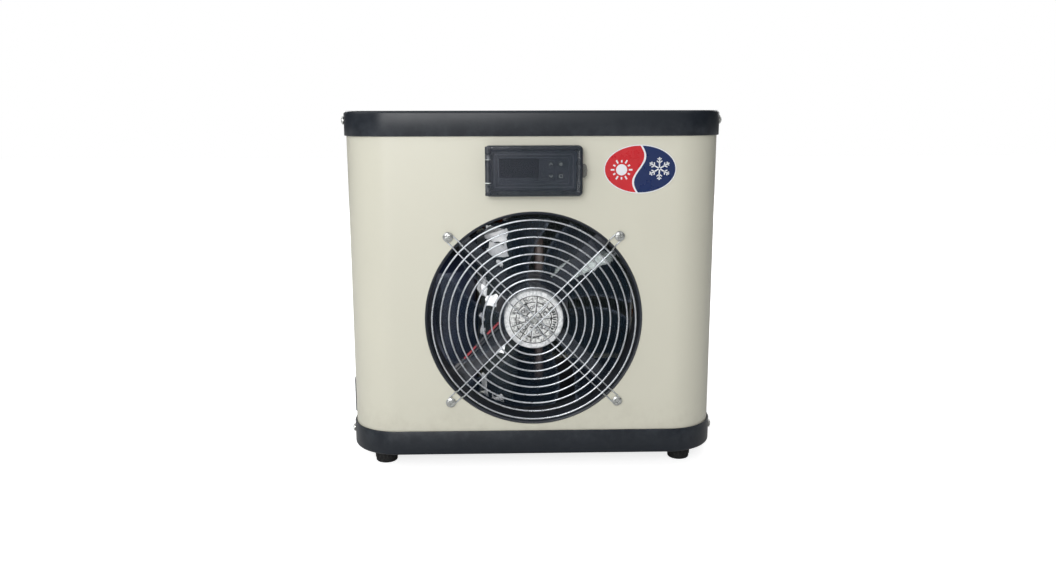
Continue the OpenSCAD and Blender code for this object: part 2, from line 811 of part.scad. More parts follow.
module compressor() {
    color(black) difference() {
        union() {
            translate([comp_x, comp_y, comp_base + 4]) {
                cylinder(r = comp_r, h = comp_h);
                translate([0, 0, comp_h]) cylinder(r1 = comp_r, r2 = comp_r - 18, h = 14, $fn = 96);
                translate([0, 0, comp_h]) cylinder(r = pipe_r + 2, h = 22);
            }
            translate([0, 0, comp_base]) linear_extrude(4) union() {
                translate([comp_x, comp_y]) circle(comp_r + 4);
                at_studs() circle(11);
            }
        }
        at_studs() translate([0, 0, comp_base - 1]) cylinder(r = 6, h = 7);
        translate([comp_x, comp_y, comp_base + comp_h + 13]) cylinder(r = pipe_r + 0.02, h = 20);
    }
}

module compressor_grommets() {
    color([0.1, 0.1, 0.1]) at_studs() translate([0, 0, floor_z + gap / 3]) difference() {
        union() {
            cylinder(r = 9, h = comp_base - floor_z - 2 * gap / 3);
            cylinder(r = 5.9, h = comp_base - floor_z + 4);
        }
        translate([0, 0, -1]) cylinder(r = stud_r + 0.05, h = 40);
    }
}

module compressor_studs() {
    nut_z = comp_base + 4.5;
    color(steel) at_studs() {
        translate([0, 0, foot_h - 4.4]) cylinder(r = 5, h = 4, $fn = 6);
        translate([0, 0, foot_h - 2]) cylinder(r = stud_r, h = nut_z + 8 - foot_h, $fn = 32);
        translate([0, 0, nut_z]) difference() {
            union() {
                cylinder(r = 9, h = 1.2);
                cylinder(r = 5.4, h = 5, $fn = 6);
            }
            translate([0, 0, -1]) cylinder(r = stud_r + 0.01, h = 8, $fn = 32);
        }
    }
}

// Suction accumulator, held against the compressor by its own pipe
module accumulator() {
    color(black) translate([acc_x, comp_y, acc_bottom]) {
        cylinder(r = acc_r, h = acc_h);
        translate([0, 0, acc_h]) cylinder(r1 = acc_r, r2 = 8, h = 10);
        translate([0, 0, -8]) cylinder(r1 = 8, r2 = acc_r, h = 8);
    }
}

// Water vessel: a closed plastic cylinder with the titanium coil inside
module exchanger_shell() {
    color([0.2, 0.21, 0.23]) difference() {
        union() {
            translate([water_x, shell_y, shell_bottom]) cylinder(r = shell_r, h = shell_h);
            for (z = [0, shell_h - 12]) translate([water_x, shell_y, shell_bottom + z])
                cylinder(r = shell_r + 3, h = 12);
            translate([water_x, shell_y, floor_z + gap / 3]) difference() {
                cylinder(r = shell_r - 6, h = 23);
                translate([0, 0, -1]) cylinder(r = shell_r - 10, h = 22);
            }
        }
        translate([water_x, shell_y, shell_bottom + 5]) cylinder(r = shell_r - shell_wall, h = shell_h - 10);
        for (z = [inlet_z, outlet_z]) out_of_rear(water_x, z, -(rear_y - shell_y) + 10)
            cylinder(r = tail_r - 0.95, h = shell_r);
    }
}

module exchanger_coil() {
    color([0.6, 0.6, 0.58]) for (i = [0:11])
        translate([water_x, shell_y, shell_bottom + 26 + i * 15]) wire_ring(29, 5);
}

module evaporator_core() {
    color([0.72, 0.74, 0.76]) {
        translate([coil_x - coil_w / 2 + 4, coil_y - coil_t / 2, coil_z - coil_h / 2 + 3])
            for (x = [0:8:coil_w - 12]) translate([x, 0, 0]) cube([5, coil_t, coil_h - 6]);
        for (side = [-1, 1]) translate([coil_x + side * (coil_w / 2 - 1) - 1, coil_y - coil_t / 2 - 1, coil_z - coil_h / 2])
            cube([2, coil_t + 2, coil_h]);
        for (i = [-1.5:1.5]) translate([coil_x - coil_w / 2 + 1, coil_y - 3, coil_z - 3 + i * coil_h / 4])
            cube([coil_w - 2, 6, 6]);
    }
}

// Return bends at both ends of the coil
bend_pitch = 42;
module evaporator_bends() {
    color(copper) for (side = [0, 1], i = [-2:2])
        translate([coil_x, coil_y, coil_z + (i + side / 2 - 0.25) * bend_pitch]) mirror([side, 0, 0])
            translate([coil_w / 2 + gap / 3, 0, 0]) rotate([90, 0, 0]) rotate([0, 0, -90])
                rotate_extrude(angle = 180) translate([bend_pitch / 4, 0]) circle(pipe_r, $fn = 24);
}

// Riser in front of the coil, bent back into it at both ends
header_x = 9;
header_depth = 105;
header_low = 60;
header_h = 155;
module coil_header() {
    reach = coil_y - coil_t / 2 - gap - front_y - header_depth;
    color(copper) translate([header_x, front_y + header_depth + reach, header_low]) rotate([90, 0, 0])
        pipe_run([[reach - pipe_bend, 90], [header_h - 2 * pipe_bend, 0], [reach - pipe_bend, 0]],
            pipe_r, pipe_bend);
}

// Hot gas: up from the compressor, over, and down into the top of the water vessel
module discharge_pipe() {
    start = comp_base + comp_h + 14;
    high = shell_bottom + shell_h + 36;
    color(copper) translate([comp_x, comp_y, start]) rotate([0, 0, 90]) pipe_run([
        [high - pipe_bend - start, 0],
        [shell_y - comp_y - 2 * pipe_bend, 0],
        [36 - pipe_bend - gap / 3, 0]
    ], pipe_r, pipe_bend);
}

// Cold gas: from the accumulator's top back to the coil
module suction_pipe() {
    start = acc_bottom + acc_h + 10 + gap / 3;
    color(copper) translate([acc_x, comp_y, start]) rotate([0, 0, 90]) pipe_run([
        [40, 0],
        [coil_y - coil_t / 2 - comp_y - pipe_bend - gap / 3, 0]
    ], pipe_r, pipe_bend);
}

// Liquid line: out of the water vessel's side and up to the drier
module liquid_pipe() {
    start = water_x + shell_r + gap;
    color(copper) translate([start, shell_y, liquid_z]) rotate([0, 90, 0]) pipe_run([
        [drier_x - start - thin_bend, 180],
        [drier_z - liquid_z - thin_bend - gap / 3, 0]
    ], thin_pipe_r, thin_bend);
}

module filter_drier() {
    color(copper) translate([drier_x, shell_y, drier_z]) {
        cylinder(r1 = thin_pipe_r, r2 = 10, h = 8);
        translate([0, 0, 8]) cylinder(r = 10, h = drier_h - 16);
        translate([0, 0, drier_h - 8]) cylinder(r1 = 10, r2 = 2, h = 8);
    }
}

// Capillary tube from the drier's top to the coil
module capillary() {
    bend = 6;
    start = drier_z + drier_h + gap / 3;
    color(copper) translate([drier_x, shell_y, start]) rotate([0, 0, 90]) pipe_run([
        [12, 0],
        [coil_y - coil_t / 2 - shell_y - bend - gap / 3, 0]
    ], 1.4, bend);
}

// ---------- electrics ----------

module electrical_box() {
    color([0.55, 0.56, 0.58]) translate([box_x - box_w / 2, box_y - box_d / 2, box_z]) difference() {
        cube([box_w, box_d, box_h]);
        translate([1.5, 1.5, 1.5]) cube([box_w - 3, box_d - 3, box_h]);
    }
}

module terminal_block() {
    color("beige") translate([box_x - 55, box_y - 50, box_z + 1.6]) difference() {
        cube([60, 22, 18]);
        for (i = [0:4]) translate([6 + i * 12, 11, 8]) cylinder(r = 3, h = 20);
    }
}

module run_capacitor() {
    color([0.2, 0.2, 0.22]) translate([box_x + 30, box_y - 20, box_z + 1.6]) cylinder(r = 20, h = 48);
}

module relay() {
    color([0.1, 0.25, 0.4]) translate([box_x - 50, box_y + 5, box_z + 1.6]) cube([30, 30, 28]);
}

top_cover();
body_wrap();
rear_panel();
rear_grille();
base_tray();
feet();
foot_bolts();
lid_screws();
tray_screws();
rear_screws();
side_plate();
fan_shroud();
guard_rings();
guard_spokes();
guard_screws();
fan_blades();
rotor_can();
motor_shaft();
motor_stator();
motor_bracket();
motor_screws();
badge();
control_housing();
flip_cover();
hinge_pin();
controller_body();
display_window();
button_up();
button_down();
button_set();
button_power();
cable_gland();
gland_nut();
inlet_port();
outlet_port();
inlet_nut();
outlet_nut();
inlet_tail();
outlet_tail();
drain_spout();
rating_plate();
compressor();
accumulator();
compressor_grommets();
compressor_studs();
exchanger_shell();
exchanger_coil();
evaporator_core();
evaporator_bends();
coil_header();
discharge_pipe();
suction_pipe();
liquid_pipe();
filter_drier();
capillary();
electrical_box();
terminal_block();
run_capacitor();
relay();
fan_leads();
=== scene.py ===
"""Visual model of a compact pool heat pump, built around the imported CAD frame."""
import json
import random
from math import atan2, cos, pi, radians, sin, sqrt

import bmesh
import bpy
from mathutils import Matrix, Vector

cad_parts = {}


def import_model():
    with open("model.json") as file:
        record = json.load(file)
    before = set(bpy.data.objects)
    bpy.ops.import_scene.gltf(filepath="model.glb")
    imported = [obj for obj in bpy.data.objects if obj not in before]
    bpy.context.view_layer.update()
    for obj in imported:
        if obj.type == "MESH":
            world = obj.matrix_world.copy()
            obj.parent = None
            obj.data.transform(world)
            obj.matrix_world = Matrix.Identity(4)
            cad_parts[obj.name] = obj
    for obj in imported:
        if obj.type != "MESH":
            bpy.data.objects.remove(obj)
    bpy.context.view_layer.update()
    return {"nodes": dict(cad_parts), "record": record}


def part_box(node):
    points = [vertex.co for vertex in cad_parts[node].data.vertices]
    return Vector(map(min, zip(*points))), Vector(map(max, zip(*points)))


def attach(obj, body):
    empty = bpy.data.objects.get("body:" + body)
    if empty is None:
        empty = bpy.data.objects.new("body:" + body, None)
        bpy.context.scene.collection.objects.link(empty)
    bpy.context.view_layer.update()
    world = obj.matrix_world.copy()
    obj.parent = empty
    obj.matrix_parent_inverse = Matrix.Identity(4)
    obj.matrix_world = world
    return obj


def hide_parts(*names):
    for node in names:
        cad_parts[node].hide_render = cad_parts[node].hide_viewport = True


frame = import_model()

MM = 0.001
TAU = 2 * pi


# ---- short forms that the rest is written in

def corners(node):
    """Lowest and highest corner of a CAD node's box, in mm."""
    return (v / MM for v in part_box(node))


def centre(node):
    lo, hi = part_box(node)
    return (lo + hi) / 2 / MM


def turned(angle, axis="Z"):
    return Matrix.Rotation(angle, 4, axis)


def moved(x, y, z):
    return Matrix.Translation((x, y, z))


def add_object(name, data):
    obj = bpy.data.objects.new(name, data)
    bpy.context.scene.collection.objects.link(obj)
    return obj


# ---- camera
# Pinhole fitted to the viewing angle. The casing's front face is the reference plane.
wrap_lo, wrap_hi = corners("body_wrap")
FRONT, REAR = wrap_lo.y, wrap_hi.y
HALF_W = wrap_hi.x

IMAGE_W = 1056
FOCAL_PX = 910.93
SENSOR = 36.0
YAW, PITCH, ROLL = (radians(a) for a in (1.54, 10.97, -0.13))
CAMERA_AT = Vector((-28.64, FRONT - 855.62, 349.1))


def add_camera():
    forward = Vector((sin(YAW) * cos(PITCH),
                      cos(YAW) * cos(PITCH),
                      -sin(PITCH)))
    right = Vector((cos(YAW), -sin(YAW), 0))
    up = right.cross(forward)
    right, up = (cos(ROLL) * right + sin(ROLL) * up,
                 -sin(ROLL) * right + cos(ROLL) * up)
    data = bpy.data.cameras.new("camera")
    data.sensor_fit = "HORIZONTAL"
    data.sensor_width = SENSOR
    data.lens = FOCAL_PX / IMAGE_W * SENSOR
    data.clip_start, data.clip_end = 0.01, 50
    cam = add_object("camera", data)
    axes = Matrix((right, up, -forward)).transposed().to_4x4()
    cam.matrix_world = moved(*(CAMERA_AT * MM)) @ axes
    bpy.context.scene.camera = cam


add_camera()


# ---- materials

class Nodes:
    """A material's node tree with short calls for the nodes used here."""

    def __init__(self, name):
        self.mat = bpy.data.materials.new(name)
        self.mat.use_nodes = True
        self.tree = self.mat.node_tree
        self.shader = self.tree.nodes["Principled BSDF"]
        self.coord = self.tree.nodes.new("ShaderNodeTexCoord").outputs["Object"]

    def node(self, kind, ins=None, **props):
        n = self.tree.nodes.new("ShaderNode" + kind)
        for key, value in props.items():
            setattr(n, key, value)
        for key, value in (ins or {}).items():
            self.put(n.inputs[key], value)
        return n

    def put(self, socket, value):
        if isinstance(value, bpy.types.NodeSocket):
            self.tree.links.new(value, socket)
        else:
            socket.default_value = value

    def stretched(self, scale):
        """Object coordinates stretched per axis."""
        return self.node("Mapping", {"Vector": self.coord, "Scale": scale}).outputs["Vector"]

    def noise(self, scale, detail=3, rough=0.5, vector=None, distort=0.0):
        return self.node("TexNoise", {"Vector": vector or self.coord, "Scale": scale, "Detail": detail,
                                      "Roughness": rough, "Distortion": distort}).outputs["Fac"]

    def ramp(self, value, lo, hi, out_lo=0.0, out_hi=1.0):
        return self.node("MapRange", {"Value": value, "From Min": lo, "From Max": hi,
                                      "To Min": out_lo, "To Max": out_hi}).outputs["Result"]

    def mix(self, factor, a, b, mode="MIX"):
        n = self.tree.nodes.new("ShaderNodeMix")
        n.data_type = "RGBA"
        n.blend_type = mode
        self.put(n.inputs[0], factor)
        self.put(n.inputs[6], a)
        self.put(n.inputs[7], b)
        return n.outputs[2]

    def math(self, operation, a, b=0.0):
        n = self.node("Math", operation=operation)
        self.put(n.inputs[0], a)
        self.put(n.inputs[1], b)
        return n.outputs["Value"]

    def bump(self, height, strength, distance, under=None):
        ins = {"Height": height, "Strength": strength, "Distance": distance * MM}
        if under is not None:
            ins["Normal"] = under
        return self.node("Bump", ins).outputs["Normal"]

    def set(self, **sockets):
        for key, value in sockets.items():
            self.put(self.shader.inputs[key.replace("_", " ")], value)
        return self.mat


def rgb(r, g, b):
    """Linear colour from display values of 0 to 255."""
    def lin(c):
        c = c / 255
        return c / 12.92 if c <= 0.04045 else ((c + 0.055) / 1.055) ** 2.4
    return (lin(r), lin(g), lin(b), 1.0)


def shade(colour, factor):
    return tuple(min(1.0, c * factor) for c in colour[:3]) + (1.0,)


def surface(name, colour, rough, *, vary=0.2, patch=18, rough_vary=0.08, grain=900, grain_depth=0.03,
            grit=0.25, wear_and_sheen=None, wear_and_sheen_at=(0.53, 0.6), dust=None, metal=0.0, specular=0.5,
            coat=0.0, coat_rough=0.1, **more):
    """General finish: blotchy colour, uneven roughness, fine grain, lighter edges and dust. The lighter edges
    are wear, except on the control housing, where they are a painted highlight.

    Colours are display values of 0 to 255, and dust is a colour and its share.
    """
    n = Nodes(name)
    base = rgb(*colour)
    blotch = n.ramp(n.noise(patch, 4, 0.6), 0.3, 0.7)
    colour_out = n.mix(blotch, shade(base, 1 - vary), shade(base, 1 + vary))
    if dust is not None:
        speck = n.ramp(n.noise(patch * 9, 6, 0.7), 0.58, 0.75)
        colour_out = n.mix(n.math("MULTIPLY", speck, dust[1]), colour_out, rgb(*dust[0]))
    smoothest, roughest = max(0.03, rough - rough_vary), min(1, rough + rough_vary)
    rough_out = n.ramp(n.noise(patch * 3.7, 5, 0.65), 0.25, 0.75, smoothest, roughest)
    # Lighter edges: wear on most finishes, and a painted highlight along the control housing's edges
    if wear_and_sheen is not None:
        point = n.node("NewGeometry").outputs["Pointiness"]
        edge = n.ramp(point, *wear_and_sheen_at)
        edge = n.math("MULTIPLY", edge, n.ramp(n.noise(patch * 12, 4, 0.7), 0.35, 0.65))
        colour_out = n.mix(edge, colour_out, rgb(*wear_and_sheen))
    height = n.noise(grain, 4, 0.6)
    normal = n.bump(height, grit, grain_depth)
    return n.set(Base_Color=colour_out, Roughness=rough_out, Normal=normal, Metallic=metal,
                 Specular_IOR_Level=specular, Coat_Weight=coat, Coat_Roughness=coat_rough, **more)


def brushed(name, colour, rough, stretch=(400, 400, 6)):
    """Drawn or brushed metal: fine lines along one axis over blotchy tarnish."""
    n = Nodes(name)
    lines = n.noise(3, 4, 0.6, n.stretched(stretch))
    tarnish = n.ramp(n.noise(25, 5, 0.6), 0.35, 0.7)
    colour_out = n.mix(tarnish, shade(colour, 1.12), shade(colour, 0.88))
    rough_out = n.ramp(lines, 0.3, 0.7, max(0.05, rough - 0.1), rough + 0.1)
    return n.set(Base_Color=colour_out, Roughness=rough_out, Metallic=1.0,
                 Normal=n.bump(lines, 0.25, 0.02))


def cream_paint():
    """Cream enamel on sheet steel: orange peel, faint long waves of the sheet, light grime low down."""
    n = Nodes("cream_paint")
    base = rgb(218, 216, 200)
    blotch = n.ramp(n.noise(6, 4, 0.5), 0.3, 0.7)
    colour = n.mix(blotch, shade(base, 0.985), shade(base, 1.01))
    height = n.node("SeparateXYZ", {"Vector": n.coord}).outputs["Z"]
    low = n.ramp(height, 0.075, 0.045)
    grime = n.math("MULTIPLY", low, n.ramp(n.noise(40, 6, 0.7), 0.45, 0.75, 0.0, 0.25))
    colour = n.mix(grime, colour, rgb(165, 158, 138))
    peel = n.noise(520, 2, 0.5)
    waves = n.noise(5, 2, 0.4)
    normal = n.bump(peel, 0.16, 0.03, n.bump(waves, 0.25, 0.8))
    rough = n.ramp(n.noise(30, 4, 0.6), 0.3, 0.7, 0.34, 0.44)
    return n.set(Base_Color=colour, Roughness=rough, Normal=normal, Specular_IOR_Level=0.4,
                 Coat_Weight=0.15, Coat_Roughness=0.25)


def cover_paint():
    """Anthracite paint of the cover and tray: satin, fine texture, edges a little rubbed."""
    n = Nodes("cover_paint")
    base = rgb(20, 27, 36)
    blotch = n.ramp(n.noise(9, 4, 0.5), 0.3, 0.7)
    colour = n.mix(blotch, shade(base, 0.9), shade(base, 1.1))
    speck = n.ramp(n.noise(900, 3, 0.6), 0.6, 0.75, 0.0, 0.12)
    colour = n.mix(speck, colour, rgb(60, 65, 72))
    edge = n.math("MULTIPLY", n.ramp(n.node("NewGeometry").outputs["Pointiness"], 0.52, 0.6),
                  n.ramp(n.noise(70, 4, 0.7), 0.4, 0.65))
    colour = n.mix(edge, colour, rgb(88, 93, 100))
    normal = n.bump(n.noise(700, 3, 0.6), 0.15, 0.02)
    rough = n.ramp(n.noise(45, 5, 0.6), 0.3, 0.7, 0.34, 0.4)
    up = n.node("SeparateXYZ", {"Vector": n.node("NewGeometry").outputs["Normal"]}).outputs["Z"]
    rough = n.math("MAXIMUM", rough, n.ramp(up, 0.85, 0.99, 0.0, 0.72))
    return n.set(Base_Color=colour, Roughness=rough, Normal=normal, Specular_IOR_Level=0.45)


def chrome_wire():
    n = Nodes("chrome_wire")
    tone = n.ramp(n.noise(60, 5, 0.7), 0.35, 0.7)
    colour = n.mix(tone, rgb(220, 224, 229), rgb(188, 192, 197))
    spots = n.ramp(n.noise(420, 5, 0.75), 0.68, 0.8, 0.0, 0.4)
    colour = n.mix(spots, colour, rgb(130, 124, 114))
    rough = n.ramp(n.noise(180, 4, 0.6), 0.3, 0.7, 0.22, 0.38)
    return n.set(Base_Color=colour, Roughness=rough, Metallic=0.9,
                 Normal=n.bump(n.noise(900, 3, 0.5), 0.12, 0.02))


def cast_alloy(name, light, dark, metal):
    """As-cast alloy: pitted, and mottled between a light and a dark colour. Its darkest copy is the painted
    shade in the rotor's hollows.
    """
    n = Nodes(name)
    mottle = n.ramp(n.noise(330, 6, 0.7, distort=0.8), 0.44, 0.58)
    colour = n.mix(mottle, light, dark)
    soft = n.ramp(n.noise(110, 3, 0.6), 0.35, 0.65, 0.0, 0.45)
    colour = n.mix(soft, colour, light)
    pits = n.node("TexVoronoi", {"Vector": n.coord, "Scale": 420.0}).outputs["Distance"]
    rough = n.ramp(n.noise(220, 5, 0.7), 0.3, 0.7, 0.24, 0.46)
    normal = n.bump(pits, 0.3, 0.2, n.bump(n.noise(260, 5, 0.7), 0.5, 0.4))
    return n.set(Base_Color=colour, Roughness=rough, Metallic=metal, Normal=normal)


def smoked_cover():
    """Smoked see-through plastic with a faint haze and hairline scratches."""
    n = Nodes("smoked_cover")
    haze = n.ramp(n.noise(28, 5, 0.65), 0.35, 0.7)
    colour = n.mix(haze, rgb(42, 53, 61), rgb(62, 65, 77))
    scratch = n.noise(4, 3, 0.7, n.stretched((60, 60, 900)))
    nick = n.ramp(n.noise(170, 6, 0.75), 0.68, 0.76, 0.0, 0.5)
    colour = n.mix(nick, colour, rgb(120, 128, 134))
    rough = n.ramp(scratch, 0.45, 0.62, 0.16, 0.3)
    return n.set(Base_Color=colour, Roughness=rough, Alpha=0.38, Specular_IOR_Level=0.5,
                 Coat_Weight=0.6, Coat_Roughness=0.07, Normal=n.bump(n.noise(45, 2, 0.5), 0.1, 0.3))


def foil():
    """Creased foil tape: bright facets with fine wrinkles."""
    n = Nodes("foil")
    crease = n.node("TexVoronoi", {"Vector": n.coord, "Scale": 260.0}).outputs["Distance"]
    fine = n.noise(420, 4, 0.7)
    colour = n.mix(n.ramp(n.noise(90, 4), 0.35, 0.65), rgb(222, 226, 230), rgb(248, 249, 250))
    normal = n.bump(crease, 0.4, 0.8, n.bump(fine, 0.3, 0.3))
    rough = n.ramp(fine, 0.3, 0.7, 0.24, 0.4)
    return n.set(Base_Color=colour, Roughness=rough, Metallic=0.15, Normal=normal)


DUST = ((126, 121, 112), 0.28)
M = {
    "cream": cream_paint(),
    "cover": cover_paint(),
    "chrome": chrome_wire(),
    "alloy": cast_alloy("cast_alloy", rgb(252, 253, 254), rgb(196, 200, 202), 0.15),
    "alloy_web": cast_alloy("cast_alloy_web", rgb(252, 253, 252), rgb(58, 63, 64), 0.15),
    # Painted shade: this dark alloy darkens the rotor's grooves, its pockets and the seams beside its ribs
    "alloy_painted_shade": cast_alloy("cast_alloy_painted_shade", rgb(44, 48, 50), rgb(18, 20, 22), 0.2),
    "smoked": smoked_cover(),
    "foil": foil(),
    "zinc": surface("zinc_plate", (196, 198, 196), 0.3, metal=0.9, vary=0.14, patch=90, grain=1100,
                    wear_and_sheen=(235, 235, 230)),
    "black": surface("black_plastic", (24, 25, 27), 0.5, vary=0.18, grit=0.35,
                     wear_and_sheen=(60, 61, 64), dust=DUST),
    "shroud": surface("shroud_plastic", (44, 48, 56), 0.42, grain=700,
                      wear_and_sheen=(74, 78, 84), specular=0.45),
    # Painted highlight: the light edge colour here stands in for light catching the housing's edges
    "gloss": surface("housing_plastic", (36, 42, 49), 0.28, vary=0.1, grain=800, grit=0.15,
                     wear_and_sheen=(150, 154, 160)),
    "blade": surface("blade_plastic", (27, 43, 58), 0.3, vary=0.25, patch=26, grain=500,
                     grit=0.12, specular=0.14, wear_and_sheen=(150, 162, 180), Alpha=0.3),
    "rubber": surface("foot_rubber", (25, 25, 26), 0.72, patch=50, grain=1300, grit=0.5,
                      dust=DUST, wear_and_sheen=(64, 63, 60)),
    "bezel": surface("bezel_plastic", (88, 94, 106), 0.36, vary=0.12, grain=1000),
    "rim": surface("bezel_rim", (124, 130, 141), 0.34, vary=0.12, grain=1000),
    "glass": surface("display_glass", (22, 25, 31), 0.08, grain=60, grit=0.05,
                     rough_vary=0.04, coat=0.6, coat_rough=0.04),
    "key": surface("key_plastic", (86, 94, 98), 0.5, vary=0.1, grain=1200),
    "icon": surface("icon_print", (236, 244, 242), 0.5, vary=0.1, grain=1500),
    "fitting": surface("fitting_pvc", (70, 72, 76), 0.4, vary=0.06, grain=700,
                       dust=((120, 118, 112), 0.1), wear_and_sheen=(112, 113, 115)),
    "plate": brushed("satin_plate", rgb(150, 152, 156), 0.38, stretch=(60, 60, 800)),
    "side_plate": surface("side_plate_paint", (74, 77, 83), 0.42, vary=0.05, patch=9,
                          grit=0.12),
    "copper": surface("copper_tube", (158, 98, 70), 0.34, metal=1.0, patch=45, grain=500,
                      dust=((84, 52, 40), 0.6)),
    "aged_copper": surface("aged_copper", (60, 52, 50), 0.5, metal=0.3, vary=0.3, patch=60, grain=500,
                           dust=((52, 50, 48), 0.6)),
    "fins": surface("coated_fins", (56, 70, 72), 0.42, vary=0.25, patch=30,
                    dust=((90, 88, 84), 0.12)),
    "enamel": surface("black_enamel", (14, 14, 16), 0.3, patch=30, grain=420, grit=0.3,
                      dust=DUST, coat=0.4, coat_rough=0.2),
    "compressor": surface("compressor_enamel", (14, 20, 36), 0.42, patch=30, grain=420,
                          specular=0.25, dust=((52, 56, 62), 0.2)),
    "bracket": surface("bracket_paint", (13, 15, 18), 0.5, grain=600, specular=0.15,
                       wear_and_sheen=(40, 42, 46)),
    "titanium": brushed("titanium_tube", rgb(150, 146, 138), 0.4),
    "box": surface("grey_sheet", (140, 143, 147), 0.42, metal=0.6, vary=0.12, patch=60),
    "beige": surface("terminal_plastic", (222, 212, 184), 0.5, vary=0.06, grain=800),
    "relay": surface("relay_case", (40, 82, 130), 0.22, vary=0.1, grain=600, coat=0.5),
    "stator": surface("stator_iron", (84, 84, 88), 0.5, metal=0.7, vary=0.25, patch=60, grain=500,
                      grit=0.5),
    "foam": surface("grey_foam", (38, 43, 44), 0.9, vary=0.3, patch=120, grain_depth=0.4,
                    grit=0.9, specular=0.2),
    "navy": surface("badge_navy", (24, 44, 92), 0.3, vary=0.06, grain=500, coat=0.5, coat_rough=0.15),
    "red": surface("badge_red", (205, 40, 48), 0.3, vary=0.06, grain=500, coat=0.5, coat_rough=0.15),
    "white": surface("badge_white", (238, 240, 244), 0.3, vary=0.03, grain=500, coat=0.5, coat_rough=0.15),
    "lead_red": surface("lead_red", (138, 34, 40), 0.45, vary=0.12, patch=120),
    "loom_grey": surface("loom_grey", (92, 96, 100), 0.5, vary=0.12, patch=120),
    "film": surface("creased_film", (214, 224, 222), 0.28, vary=0.3, patch=180, grain=260, grain_depth=1.2,
                    grit=0.8, specular=0.6),
}


# ---- mesh helpers (all in mm)

def into_front(x, z, depth):
    """Local +Z points into the casing from the front face."""
    return moved(x, FRONT + depth, z) @ turned(-pi / 2, "X")


def on_front(x, z, depth):
    """Local XY is the front seen from outside, and local +Z stands out of it."""
    return moved(x, FRONT - depth, z) @ turned(pi / 2, "X")


def out_of_rear(x, z, reach):
    return moved(x, REAR + reach, z) @ turned(-pi / 2, "X")


def circle(r, segs, z):
    return [(r * cos(TAU * i / segs), r * sin(TAU * i / segs), z) for i in range(segs)]


